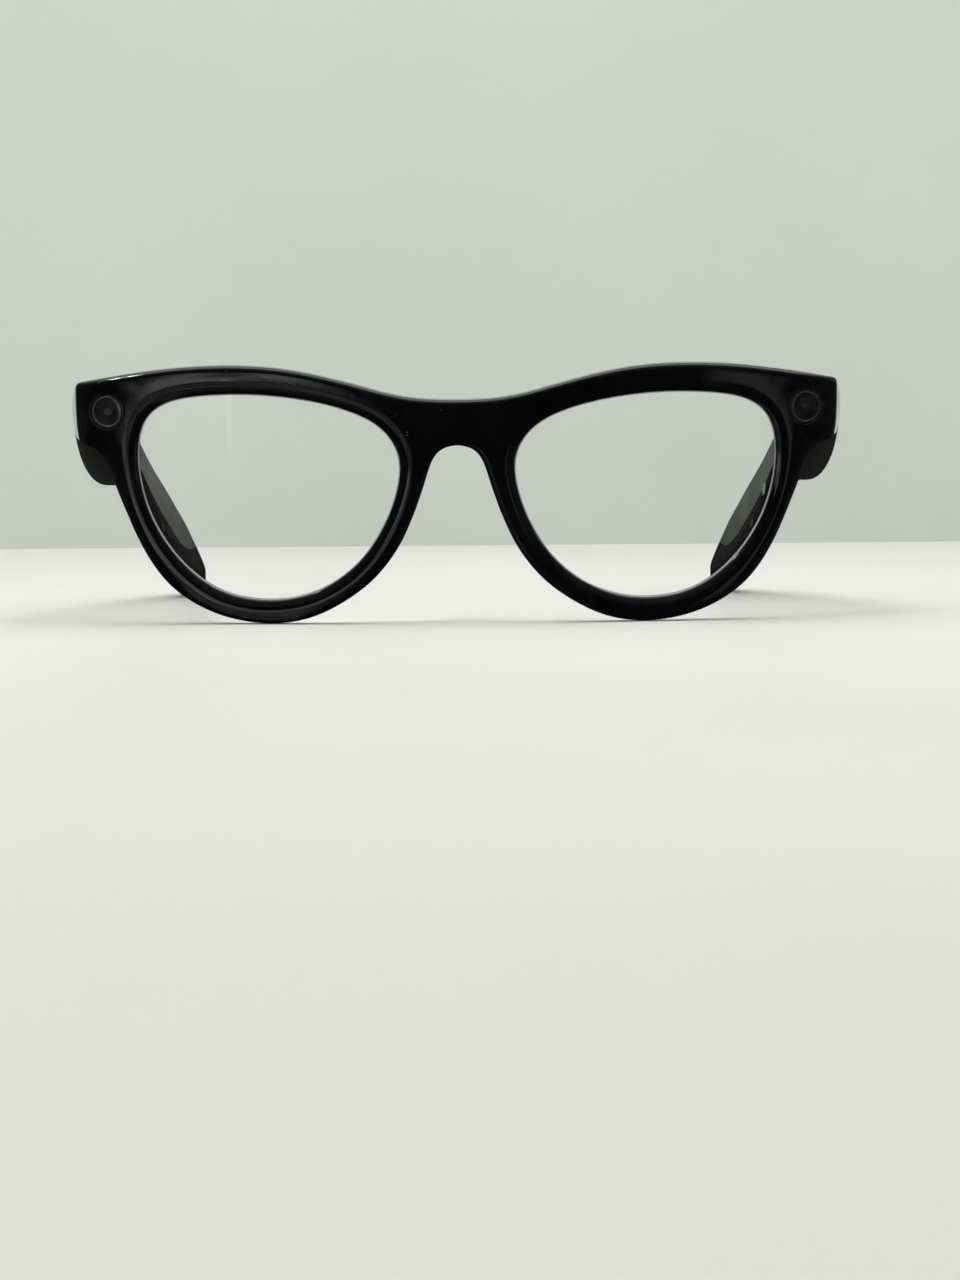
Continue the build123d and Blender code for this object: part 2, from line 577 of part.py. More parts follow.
K_MID = LEAF_Z1 - LEAF_Z0 - 2 * K_END - 0.2
with BuildPart() as hinge_rear_leaf_left:
    with BuildSketch(side_plane(67.2)):
        with Locations((Y((21.7 + 31.3) / 2), 37.4)):
            RectangleRounded(31.3 - 21.7, 6.4, 0.5)
        with Locations((Y(25.0), 36.2), (Y(29.0), 36.2)):
            Circle(0.62, mode=Mode.SUBTRACT)
    extrude(amount=-1.0)
    with BuildSketch(Plane.XY.offset(LEAF_Z0 + K_END + 0.1)):
        with Locations((HINGE_X, Y(HINGE_S))):
            Circle(KNUCKLE_R)
        with BuildLine():
            Polyline((HINGE_X, Y(HINGE_S - 0.2)), (HINGE_X + 1.65, Y(HINGE_S - 0.2)), (67.2, Y(21.7)), (67.2, Y(22.6)),
                     (66.2, Y(22.6)), (HINGE_X - 1.2, Y(HINGE_S + 1.1)), close=True)
        make_face()
    extrude(amount=K_MID)
    with BuildSketch(Plane.XY.offset(LEAF_Z0)):
        with Locations((HINGE_X, Y(HINGE_S))):
            Circle(PIN_R + PIN_GAP)
    extrude(amount=8, mode=Mode.SUBTRACT)
with BuildPart() as temple_screws_left:
    with BuildSketch(side_plane(66.2)):
        with Locations((Y(25.0), 36.2), (Y(29.0), 36.2)):
            Circle(0.53)
    extrude(amount=4.8)
    with BuildSketch(side_plane(66.2)):
        with Locations((Y(25.0), 36.2), (Y(29.0), 36.2)):
            Circle(1.0)
    extrude(amount=-0.35)

with BuildPart() as hinge_rear_leaf_right:
    mirror(hinge_rear_leaf_left.part, about=Plane.YZ)
with BuildPart() as temple_screws_right:
    mirror(temple_screws_left.part, about=Plane.YZ)

# Electronics in the left temple: battery, power switch and slider.
with BuildPart() as battery:
    with BuildSketch(along_plane(67.5, 76.0, 24.3)):
        RectangleRounded(19.5, 7.0, 0.8)
    extrude(amount=2.75)
with BuildPart() as power_switch_body:
    with BuildSketch(along_plane(68.1, SLIDER_S, SLIDER_ZC)):
        Rectangle(7.0, 3.0)
    extrude(amount=0.8)
with BuildPart() as power_slider:
    with BuildSketch(along_plane(65.6, SLIDER_S - 1.0 * ca, SLIDER_ZC + 1.0 * sa)):
        SlotOverall(SLIDER_L, SLIDER_W)
    extrude(amount=1.9)
    with BuildSketch(along_plane(67.45, SLIDER_S - 1.0 * ca, SLIDER_ZC + 1.0 * sa)):
        Rectangle(8.4, 2.9)
    extrude(amount=0.5)
    with BuildSketch(along_plane(65.6, SLIDER_S - 1.0 * ca, SLIDER_ZC + 1.0 * sa)):
        with Locations((-0.9, 0), (0, 0), (0.9, 0)):
            Rectangle(0.3, 1.6)
    extrude(amount=0.25, mode=Mode.SUBTRACT)

# Electronics in the right temple: board, shield, touch pad, button and its switch.
with BuildPart() as main_board:
    with BuildSketch(along_plane(-69.0, 68.0, 25.9)):
        RectangleRounded(32.0, 6.8, 0.6)
    extrude(amount=0.8)
with BuildPart() as board_shield:
    with BuildSketch(along_plane(-68.2, 66.0, 26.4)):
        Rectangle(14.0, 5.0)
    extrude(amount=0.6)
with BuildPart() as touchpad_flex:
    with BuildSketch(along_plane(-70.65, 67.0, 28.3)):
        RectangleRounded(18.0, 3.2, 0.6)
    extrude(amount=0.25)
with BuildPart() as capture_button:
    with BuildSketch(button_plane.offset(-2.3)):
        SlotOverall(BUTTON_L + 1.8, BUTTON_W + 0.8)
    extrude(amount=0.5)
    with BuildSketch(button_plane.offset(-2.0)):
        SlotOverall(BUTTON_L, BUTTON_W)
    extrude(amount=2.45)
    chamfer(capture_button.faces().sort_by(Axis.Z)[-1].edges(), length=0.25)
with BuildPart() as button_switch:
    with BuildSketch(button_plane.offset(-3.7)):
        Rectangle(5.0, 3.6)
    extrude(amount=-0.7)
    with BuildSketch(button_plane.offset(-3.7)):
        Circle(1.4)
    extrude(amount=0.8)

# Sound: a speaker, its grille and a microphone on each side.
with BuildPart() as speaker_left:
    with BuildSketch(along_plane(67.1, 93.5, 18.8)):
        RectangleRounded(14.0, 6.4, 1.0)
    extrude(amount=2.4)
with BuildPart() as speaker_grille_left:
    with BuildSketch(along_plane(66.15, GRILLE_S, GRILLE_Z)):
        SlotOverall(9.1, 1.9)
        with GridLocations(1.7, 0, 5, 1):
            Rectangle(0.8, 0.9, mode=Mode.SUBTRACT)
    extrude(amount=0.6)
with BuildPart() as temple_microphone_left:
    with BuildSketch(Plane.XY.offset(28.15)):
        with Locations((MIC_X, Y(MIC_S))):
            Rectangle(2.2, 2.2)
    extrude(amount=0.9)
with BuildPart() as temple_flex_left:
    with BuildSketch(along_plane(71.0, 45.0, 33.0)):
        Rectangle(15.0, 2.4)
    extrude(amount=0.3)
with BuildPart() as speaker_right:
    mirror(speaker_left.part, about=Plane.YZ)
with BuildPart() as speaker_grille_right:
    mirror(speaker_grille_left.part, about=Plane.YZ)
with BuildPart() as temple_microphone_right:
    mirror(temple_microphone_left.part, about=Plane.YZ)

# ------------------------------------------------------------------ write the pieces
pieces = {
    "front_frame": front_frame, "brow_back_cover": brow_back_cover, "front_flex_cable": front_flex_cable,
    "lens_left": lens_left, "lens_right": lens_right,
    "camera_bezel": camera_bezel, "camera_window": camera_window, "camera_module": camera_module,
    "led_bezel": led_bezel, "led_window": led_window, "led_board": led_board,
    "hinge_front_leaf_left": hinge_front_leaf_left, "hinge_front_leaf_right": hinge_front_leaf_right,
    "hinge_pin_left": hinge_pin_left, "hinge_pin_right": hinge_pin_right,
    "endpiece_cover_left": endpiece_cover_left, "endpiece_cover_right": endpiece_cover_right,
    "front_hinge_screws": front_hinge_screws,
    "nose_pad_left": nose_pad_left, "nose_pad_right": nose_pad_right,
    "charging_contacts": charging_contacts, "charging_magnets": charging_magnets,
    "bridge_microphone": bridge_microphone,
    "temple_shell_left": temple_shell_left, "temple_shell_right": temple_shell_right,
    "temple_inner_cover_left": temple_inner_cover_left, "temple_inner_cover_right": temple_inner_cover_right,
    "temple_core_left": temple_core_left, "temple_core_right": temple_core_right,
    "hinge_rear_leaf_left": hinge_rear_leaf_left, "hinge_rear_leaf_right": hinge_rear_leaf_right,
    "temple_screws_left": temple_screws_left, "temple_screws_right": temple_screws_right,
    "battery": battery, "power_switch_body": power_switch_body, "power_slider": power_slider,
    "main_board": main_board, "board_shield": board_shield, "touchpad_flex": touchpad_flex,
    "capture_button": capture_button, "button_switch": button_switch,
    "speaker_left": speaker_left, "speaker_right": speaker_right,
    "speaker_grille_left": speaker_grille_left, "speaker_grille_right": speaker_grille_right,
    "temple_microphone_left": temple_microphone_left, "temple_microphone_right": temple_microphone_right,
    "temple_flex_left": temple_flex_left,
}
for label, piece in pieces.items():
    piece.part.label = label
    export_step(piece.part, f"parts/{label}.step")
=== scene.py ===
import bpy, json, math
import numpy as np
from mathutils import Vector, Matrix
from mathutils.geometry import delaunay_2d_cdt
from mathutils.kdtree import KDTree

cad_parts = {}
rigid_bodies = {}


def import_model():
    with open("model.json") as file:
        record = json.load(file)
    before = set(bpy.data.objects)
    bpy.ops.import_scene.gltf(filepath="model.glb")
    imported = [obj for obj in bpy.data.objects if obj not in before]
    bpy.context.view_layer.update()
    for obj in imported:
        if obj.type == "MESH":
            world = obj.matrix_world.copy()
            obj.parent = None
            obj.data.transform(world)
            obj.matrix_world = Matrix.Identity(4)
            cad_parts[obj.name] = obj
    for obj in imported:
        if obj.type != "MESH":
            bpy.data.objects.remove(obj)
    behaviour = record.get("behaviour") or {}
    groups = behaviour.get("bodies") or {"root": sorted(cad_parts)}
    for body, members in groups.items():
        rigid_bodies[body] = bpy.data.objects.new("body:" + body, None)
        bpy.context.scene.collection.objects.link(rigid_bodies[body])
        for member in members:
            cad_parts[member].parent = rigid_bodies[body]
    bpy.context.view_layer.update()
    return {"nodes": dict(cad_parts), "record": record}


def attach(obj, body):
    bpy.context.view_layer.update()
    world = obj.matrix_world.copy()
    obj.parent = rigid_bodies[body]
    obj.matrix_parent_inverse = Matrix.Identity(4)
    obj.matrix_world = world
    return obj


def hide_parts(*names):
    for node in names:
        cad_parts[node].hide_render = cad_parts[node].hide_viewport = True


for o in list(bpy.data.objects):
    bpy.data.objects.remove(o)
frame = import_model()
nodes = frame["nodes"]

# ------------------------------------------------------------------ dimensions (mm)
TILT, R_FRONT, RIM_T = 6.0, 260.0, 4.6
LIFT, Y_MID = 25.795, 69.505
BACK_S = 17.0
CIRCLE_X, CIRCLE_V = 67.85, 14.8
SLOPE = 13.75
ct, st = math.cos(math.radians(TILT)), math.sin(math.radians(TILT))
ca, sa = math.cos(math.radians(SLOPE)), math.sin(math.radians(SLOPE))
VV = np.array([0, -st, ct])
NN = np.array([0, -ct, -st])
APEX = np.array([0, -Y_MID, LIFT])
CENTRE = APEX - NN * R_FRONT

BROW = [(0, 17.13), (5, 17.26), (10, 17.78), (15, 18.88), (20, 20.24), (25, 21.5), (30, 22.55), (36, 23.38),
        (42, 23.7), (48, 23.63), (54, 23.24), (60, 22.53), (66, 21.61), (74.3, 20.14)]
SIDE = [(74.3, 20.14), (74.38, 17.5), (74.34, 14.6), (74.15, 11.6), (73.62, 8.5)]
RIM = [(73.62, 8.5), (71.3, 7.7), (69.55, 6.3), (68.35, 4.4), (67.4, 2.1), (66.1, -1.3), (64.9, -4.3), (63.75, -7.1),
       (62.4, -10.1), (60.7, -13.3), (58.7, -16.3), (56.4, -18.95), (53.7, -21.15), (50.5, -23.05), (46.8, -24.6),
       (42.9, -25.62), (38.7, -26.15), (34.5, -26.12), (30.7, -25.55), (27.1, -24.4), (23.7, -22.75), (20.7, -20.9),
       (18.0, -18.9), (15.7, -16.75), (13.6, -14.3), (11.8, -11.7), (10.3, -9.0), (9.0, -6.1), (7.85, -3.2),
       (6.85, -0.4), (5.9, 2.5), (5.05, 5.0), (4.0, 6.85), (2.2, 8.1), (0, 8.45)]
OPENING = [(11.0, 3.9), (11.55, 7.4), (13.35, 10.5), (16.1, 12.9), (19.5, 14.62), (23.0, 15.82), (26.7, 16.74),
           (30.5, 17.43), (34.4, 17.92), (38.2, 18.2), (42.0, 18.29), (45.8, 18.2), (49.6, 17.93), (53.3, 17.38),
           (56.9, 16.2), (59.8, 14.0), (61.4, 10.9), (61.98, 7.3), (61.95, 3.5), (61.35, -0.4), (60.3, -4.1),
           (58.7, -7.7), (56.7, -11.0), (54.3, -14.0), (51.6, -16.6), (48.6, -18.75), (45.4, -20.3), (42.0, -21.25),
           (38.4, -21.65), (34.7, -21.6), (31.0, -20.98), (27.4, -19.8), (23.9, -18.0), (20.8, -15.7), (18.1, -13.0),
           (15.9, -10.0), (14.1, -6.8), (12.6, -3.4), (11.5, 0.3)]
CHANNEL = [(0, 14.7), (6, 14.8), (12, 15.5), (18, 16.95), (24, 18.55), (30, 19.85), (36, 20.7), (42, 21.0),
           (48, 20.85), (54, 20.2), (60, 18.9)]


# ------------------------------------------------------------------ curve tools
def cubic(points, closed=False, t0=None, t1=None):
    """Second-order smooth curve through the points; returns a function of 0..1."""
    p = np.array(points, float)
    if closed:
        p = np.vstack([p, p[:1]])
    h = np.linalg.norm(np.diff(p, axis=0), axis=1)
    u = np.concatenate([[0], np.cumsum(h)])
    n = len(p)
    a, b = np.zeros((n, n)), np.zeros((n, p.shape[1]))
    for i in range(1, n - 1):
        a[i, i - 1], a[i, i], a[i, i + 1] = 1 / h[i - 1], 2 / h[i - 1] + 2 / h[i], 1 / h[i]
        b[i] = 3 * ((p[i] - p[i - 1]) / h[i - 1] ** 2 + (p[i + 1] - p[i]) / h[i] ** 2)
    if closed:
        a[0, 0], a[0, 1], a[0, n - 2] = 2 / h[0] + 2 / h[-1], 1 / h[0], 1 / h[-1]
        b[0] = 3 * ((p[1] - p[0]) / h[0] ** 2 + (p[0] - p[-2]) / h[-1] ** 2)
        a[-1, -1], a[-1, 0] = 1, -1
    else:
        for k, t, e in ((0, t0, 0), (-1, t1, -1)):
            if t is not None:
                a[k, k] = 1
                b[k] = np.array(t) / np.linalg.norm(t)
            elif k == 0:
                a[0, 0], a[0, 1] = 2, 1
                b[0] = 3 * (p[1] - p[0]) / h[0]
            else:
                a[-1, -1], a[-1, -2] = 2, 1
                b[-1] = 3 * (p[-1] - p[-2]) / h[-1]
    m = np.linalg.solve(a, b)

    def at(f):
        x = np.clip(np.asarray(f, float), 0, 1) * u[-1]
        i = np.clip(np.searchsorted(u, x, side="right") - 1, 0, n - 2)
        s = ((x - u[i]) / h[i])[:, None]
        hh = h[i][:, None]
        return ((1 + 2 * s) * (1 - s) ** 2 * p[i] + s * (1 - s) ** 2 * hh * m[i]
                + s * s * (3 - 2 * s) * p[i + 1] + s * s * (s - 1) * hh * m[i + 1])
    return at


def even(poly, step, closed=False):
    """The polyline resampled at equal distances of about step."""
    q = np.vstack([poly, poly[:1]]) if closed else np.asarray(poly)
    d = np.concatenate([[0], np.cumsum(np.linalg.norm(np.diff(q, axis=0), axis=1))])
    n = max(2, int(round(d[-1] / step)))
    x = np.linspace(0, d[-1], n + 1)
    r = np.stack([np.interp(x, d, q[:, k]) for k in range(q.shape[1])], 1)
    return r[:-1] if closed else r


def smooth(poly, step, sigma, closed=False):
    """Takes the unevenness of sigma (mm) out of an evenly spaced polyline, its ends held."""
    k = int(3 * sigma / step) + 1
    g = np.exp(-0.5 * (np.arange(-k, k + 1) * step / sigma) ** 2)
    g /= g.sum()

    def once(p):
        if closed:
            e = np.vstack([p[-k:], p, p[:k]])
        else:
            e = np.vstack([2 * p[0] - p[k:0:-1], p, 2 * p[-1] - p[-2:-k - 2:-1]])
        return np.stack([np.convolve(e[:, c], g, "valid") for c in range(p.shape[1])], 1)
    a = once(poly)
    return 2 * a - once(a)


def sampled(points, closed=False, t0=None, t1=None, sigma=1.6, step=0.05):
    c = cubic(points, closed, t0, t1)
    p = even(c(np.linspace(0, 1, 6000))[:-1] if closed else c(np.linspace(0, 1, 6000)), step, closed)
    return smooth(p, step, sigma, closed) if sigma else p


def cut_ends(p, a=0.0, b=0.0):
    """The polyline without its first a and last b millimetres."""
    d = np.concatenate([[0], np.cumsum(np.linalg.norm(np.diff(p, axis=0), axis=1))])
    x = np.concatenate([[a], d[(d > a + 1e-6) & (d < d[-1] - b - 1e-6)], [d[-1] - b]])
    return np.stack([np.interp(x, d, p[:, k]) for k in range(p.shape[1])], 1)


def joined(parts, tangent_lengths, k=0.62):
    """Polylines in a row, with a rounded corner of the given reach between each two."""
    out = []
    for i, p in enumerate(parts):
        p = cut_ends(p, tangent_lengths[i - 1] if i else 0, tangent_lengths[i] if i < len(parts) - 1 else 0)
        if out:
            q = out[-1]
            a, da = q[-1], (q[-1] - q[-4]) / np.linalg.norm(q[-1] - q[-4])
            b, db = p[0], (p[3] - p[0]) / np.linalg.norm(p[3] - p[0])
            r = tangent_lengths[i - 1] * k
            s = np.linspace(0, 1, 40)[1:-1, None]
            out.append((1 - s) ** 3 * a + 3 * (1 - s) ** 2 * s * (a + da * r) + 3 * (1 - s) * s * s * (b - db * r) + s ** 3 * b)
        out.append(p)
    return np.vstack(out)


def right_normals(p, closed=False, ends=None):
    """Unit vectors to the right of the polyline's heading."""
    if closed:
        t = np.roll(p, -1, 0) - np.roll(p, 1, 0)
    else:
        t = np.gradient(p, axis=0)
        if ends is not None:
            t[0], t[-1] = ends
    t /= np.linalg.norm(t, axis=1)[:, None]
    return np.stack([t[:, 1], -t[:, 0]], 1)


def tree_of(p):
    t = KDTree(len(p))
    for i, (a, b) in enumerate(p):
        t.insert((a, b, 0), i)
    t.balance()
    return t


def inside(poly, pts):
    """Which points lie in the closed polygon."""
    x, y = pts[:, 0], pts[:, 1]
    r = np.zeros(len(pts), bool)
    x0, y0 = poly[:, 0], poly[:, 1]
    x1, y1 = np.roll(x0, -1), np.roll(y0, -1)
    for a, b, c, d in zip(x0, y0, x1, y1):
        if b == d:
            continue
        hit = ((b > y) != (d > y)) & (x < (c - a) * (y - b) / (d - b) + a)
        r ^= hit
    return r


# ------------------------------------------------------------------ mesh tools
def mesh_object(name, verts_mm, faces, attrs=None, normals=True, sharp_deg=None, collection=None):
    me = bpy.data.meshes.new(name)
    me.from_pydata([tuple(v) for v in (np.asarray(verts_mm) * 0.001)], [], [tuple(int(i) for i in f) for f in faces])
    me.validate()
    me.update()
    for f in me.polygons:
        f.use_smooth = True
    for k, v in (attrs or {}).items():
        a = me.attributes.new(k, "FLOAT", "POINT")
        a.data.foreach_set("value", np.asarray(v, np.float32))
    if normals:
        me.normals_split_custom_set_from_vertices([tuple(n) for n in area_normals(verts_mm, faces)])
    o = bpy.data.objects.new(name, me)
    bpy.context.scene.collection.objects.link(o)
    return o


def area_normals(verts, faces):
    """Vertex normals weighted by face area, so that broad faces stay flat beside narrow bevels."""
    v = np.asarray(verts, float)
    n = np.zeros_like(v)
    tri = []
    for f in faces:
        for i in range(1, len(f) - 1):
            tri.append((f[0], f[i], f[i + 1]))
    tri = np.array(tri)
    c = np.cross(v[tri[:, 1]] - v[tri[:, 0]], v[tri[:, 2]] - v[tri[:, 0]])
    for k in range(3):
        np.add.at(n, tri[:, k], c)
    l = np.linalg.norm(n, axis=1)
    l[l == 0] = 1
    return n / l[:, None]


class Sheet:
    """A flat set of points and fixed edges, filled with triangles."""

    def __init__(self):
        self.p, self.e = [], []

    def line(self, pts, closed=False):
        i0 = len(self.p)
        self.p += [tuple(q) for q in pts]
        n = len(pts)
        self.e += [(i0 + i, i0 + i + 1) for i in range(n - 1)]
        if closed:
            self.e.append((i0 + n - 1, i0))
        return list(range(i0, i0 + n))

    def points(self, pts):
        self.p += [tuple(q) for q in pts]

    def fill(self, keep):
        v, _, f, orig, _, _ = delaunay_2d_cdt([Vector(q) for q in self.p], self.e, [], 0, 1e-6)
        out = np.array([(q.x, q.y) for q in v])
        where = {}
        for i, os_ in enumerate(orig):
            for o in os_:
                where[o] = i
        tri = np.array([t for t in f if len(t) == 3])
        mid = out[tri].mean(axis=1)
        tri = tri[keep(mid)]
        a = out[tri]
        area = (a[:, 1, 0] - a[:, 0, 0]) * (a[:, 2, 1] - a[:, 0, 1]) - (a[:, 1, 1] - a[:, 0, 1]) * (a[:, 2, 0] - a[:, 0, 0])
        tri[area < 0] = tri[area < 0][:, ::-1]
        return out, tri, where


# ------------------------------------------------------------------ the front
brow = sampled(BROW, t0=(1, 0), t1=(0.985, -0.175))
side = sampled(SIDE, sigma=0.8)
rim = sampled(RIM, t0=(-0.93, -0.36), t1=(-1, 0))
outer_fine = joined([brow, side, rim], [1.13, 0.8])
outer_fine[0, 0] = outer_fine[-1, 0] = 0.0
open_fine = sampled(OPENING, closed=True)

STEP = 0.36
outer = even(outer_fine, STEP)
outer[0, 0] = outer[-1, 0] = 0.0
opening = even(open_fine, STEP, closed=True)
outer_n = right_normals(outer, ends=((1, 0), (-1, 0)))
open_n = -right_normals(opening, closed=True)
outer_tree, open_tree = tree_of(outer_fine), tree_of(open_fine)
half_poly = outer_fine[::4]
open_poly = open_fine[::4]

R_OUT_F, R_OUT_B = 0.95, 0.7        # roundings of the outer edge, front and back
BEV_SLOPE, BEV_W, BEV_SOFT = 0.76, 1.20, 0.60   # the long roll towards each lens
CROWN_W, CROWN_K = 4.2, 0.016       # the slight crown along the outer edge
RO = 3.42                            # the seat of the ring
cphi = math.sqrt(1 - (CIRCLE_X / R_FRONT) ** 2)


def round_drop(d, r):
    """How far a quarter-round of radius r falls at distance d from its edge."""
    q = np.clip((r - d) / r, 0, 1)
    return r * (1 - np.sqrt(np.maximum(0, 1 - q ** 2)))


def softplus(x, w):
    return w * np.logaddexp(0, x / w)


def ring_radius(p):
    return np.hypot((p[:, 0] - CIRCLE_X) / cphi, p[:, 1] - CIRCLE_V)


def front_n(p, d_out, d_open):
    """Height of the front's outer surface along NN."""
    n = np.sqrt(R_FRONT ** 2 - p[:, 0] ** 2)
    drop = round_drop(d_out, R_OUT_F)
    drop += BEV_SLOPE * softplus(BEV_W - d_open, BEV_SOFT) + round_drop(d_open, 0.22)
    drop += CROWN_K * np.clip(CROWN_W - d_out, 0, None) ** 2 * np.clip((ring_radius(p) - RO - 0.6) / 4, 0, 1)
    rho = ring_radius(p)
    lip = np.where(rho > RO, round_drop(rho - RO, 0.22), 1.0)
    return n - np.where(rho > RO + 1.0, drop, np.maximum(drop, lip))


def distances(p):
    do = np.array([outer_tree.find((a, b, 0))[2] for a, b in p])
    di = np.array([open_tree.find((a, b, 0))[2] for a, b in p])
    return do, di


def place(p, n):
    return CENTRE + np.outer(n, NN) + np.outer(p[:, 1], VV) + np.outer(p[:, 0], [1.0, 0, 0])


# the solid behind the rim's outer corner, and how it widens towards its back face
BX0 = 62.5


def block_warp(P):
    """Moves points behind the plate so that the endpiece takes its back section."""
    s = P[:, 1] + Y_MID
    x, z = P[:, 0], P[:, 2]
    f = np.clip((s - 10.2) / (BACK_S - 10.2), 0, 1)
    f = f * f * (3 - 2 * f) * 0.35 + f * 0.65
    m = np.clip((x - 61.9) / 0.6, 0, 1)
    f = f * m
    dx = 1.55 * np.clip((x - 66) / 8.1, 0, 1.05)
    top = 47.9 - (x - 62.4) * 0.149
    dtop = (44.4 - (x - 62.6) * 0.0303) - top
    dz = dtop * np.clip((z - 38.5) / (top - 38.5), 0, 1.1) ** 1.3
    Q = P.copy()
    Q[:, 0] += f * dx
    Q[:, 2] += f * dz
    return Q


def unwarp_at_back(xz):
    """(x, v) of the points whose warped place on the back plane is xz."""
    x, z = xz[:, 0].copy(), xz[:, 1].copy()
    y = np.full(len(x), BACK_S - Y_MID)
    for _ in range(30):
        w = block_warp(np.stack([x, y, z], 1))
        x += xz[:, 0] - w[:, 0]
        z += xz[:, 1] - w[:, 2]
    rel = np.stack([x, y, z], 1) - CENTRE
    return np.stack([x, rel @ VV], 1)


def plane_n(p, s=BACK_S):
    """Height along NN of the plane at station s."""
    return (s - Y_MID - CENTRE[1] - VV[1] * p[:, 1]) / NN[1]


# border of the endpiece's solid on the plate: down its inner side and along its bottom
def rounded_path(pts, r, n=8):
    out = [np.array(pts[0], float)]
    for a, b, c in zip(pts, pts[1:], pts[2:]):
        a, b, c = map(lambda q: np.array(q, float), (a, b, c))
        u, v = (a - b) / np.linalg.norm(a - b), (c - b) / np.linalg.norm(c - b)
        for s in np.linspace(0, 1, n):
            out.append((1 - s) ** 2 * (b + u * r) + 2 * s * (1 - s) * b + s * s * (b + v * r))
    out.append(np.array(pts[-1], float))
    return np.array(out)


top_at = float(np.interp(BX0, brow[:, 0], brow[:, 1]))
foot = unwarp_at_back(np.array([[64.0, 34.95], [70.9, 34.95]]))
FOOT_V = float(foot[0, 1])
step_line = even(rounded_path([(BX0, top_at + 1.5), (BX0, FOOT_V), (73.2, FOOT_V - 0.05)], 0.9), 0.3)
step_fine = even(step_line, 0.02)
step_tree = tree_of(step_fine)


def step_signed(p):
    """Distance from the border of the endpiece's solid, positive inside it."""
    d = np.array([step_tree.find((a, b, 0))[2] for a, b in p])
    ins = (p[:, 0] > BX0) & (p[:, 1] > FOOT_V)
    corner = np.hypot(p[:, 0] - BX0 - 0.9, p[:, 1] - FOOT_V - 0.9)
    near = (p[:, 0] < BX0 + 0.9) & (p[:, 1] < FOOT_V + 0.9)
    ins &= ~(near & (corner > 0.95))
    return np.where(ins, d, -d)


pocket = unwarp_at_back(rounded_path([(66, 43.2), (73.6, 43.2), (73.6, 35.9), (63.3, 35.9), (63.3, 43.2), (66.01, 43.2)], 0.6)[:-1])
pocket = even(pocket, 0.4, closed=True)

# slots of the back: the brow cover's, and the seats in the bridge
chan = sampled([(-x, y) for x, y in CHANNEL[:0:-1]] + CHANNEL, sigma=0.8)
chan = chan[chan[:, 0] >= 0]
chan = even(np.vstack([[0, np.interp(0, chan[:, 0], chan[:, 1])], chan[chan[:, 0] > 0.01]]), 0.5)
chan_n = right_normals(chan, ends=((1, 0), tuple(chan[-1] - chan[-2])))
CHAN_W = 1.17


def around(cx, cy, r, n, grow=0.0):
    a = np.linspace(0, 2 * math.pi, n, endpoint=False)
    return np.stack([cx + (r + grow) * np.cos(a), cy + (r + grow) * np.sin(a)], 1)


print("outline points", len(outer), len(opening))


def hex_points(poly, x0, x1, y0, y1, gap):
    xs, ys, k, y = [], [], 0, y0
    while y < y1:
        for x in np.arange(x0 + (gap / 2 if k % 2 else 0), x1, gap):
            xs.append(x); ys.append(y)
        y += gap * 0.866
        k += 1
    return np.stack([xs, ys], 1)


# front sheet
FR_OUT = [0, 0.02, 0.07, 0.15, 0.26, 0.4, 0.56, 0.74, 0.95, 1.15, 1.5, 2.0]
FR_OPEN = [0, 0.02, 0.06, 0.13, 0.22, 0.4, 0.6, 0.8, 1.0, 1.2, 1.4, 1.6, 1.8, 2.0, 2.25, 2.5, 2.8, 3.1]
BK_OUT = [0, 0.02, 0.07, 0.15, 0.28, 0.46, 0.7, 1.0]
BK_OPEN = [0, 0.02, 0.07, 0.15, 0.28, 0.46, 0.7, 1.0]


def build_sheet(out_d, open_d, extra, keep_away, gap=1.0):
    sh = Sheet()
    axis = {}
    rings_out = []
    for d in out_d:
        q = outer + outer_n * d
        q[0, 0] = q[-1, 0] = 0
        ids = sh.line(q)
        rings_out.append(ids)
        axis[ids[0]] = q[0, 1]
        axis[ids[-1]] = q[-1, 1]
    rings_open = [sh.line(opening + open_n * d, closed=True) for d in open_d]
    away = [np.array(sh.p)]
    for pts, closed, dense in extra:
        ids = sh.line(pts, closed)
        for i in ids:
            if abs(sh.p[i][0]) < 1e-9:
                axis[i] = sh.p[i][1]
        away.append(np.array([sh.p[i] for i in ids]))
    lo, hi = min(axis.values()), max(axis.values())
    used = np.array(sorted(axis.values()))
    for y in np.arange(lo + 0.5, hi - 0.4, 0.6):
        if np.min(np.abs(used - y)) > 0.3:
            sh.p.append((0.0, y))
            axis[len(sh.p) - 1] = y
    order = sorted(axis, key=lambda i: axis[i])
    sh.e += [(a, b) for a, b in zip(order, order[1:]) if axis[b] - axis[a] > 1e-6]
    grid = hex_points(None, 0.5, 75, -27, 25, gap)
    grid = grid[inside(half_poly, grid) & ~inside(open_poly, grid)]
    t = tree_of(np.vstack(away))
    grid = np.array([g for g in grid if t.find((g[0], g[1], 0))[2] > keep_away * gap])
    sh.points(grid)
    poly = half_poly

    def keep(mid):
        return inside(poly, mid) & ~inside(open_poly, mid)
    return sh, rings_out, rings_open, keep


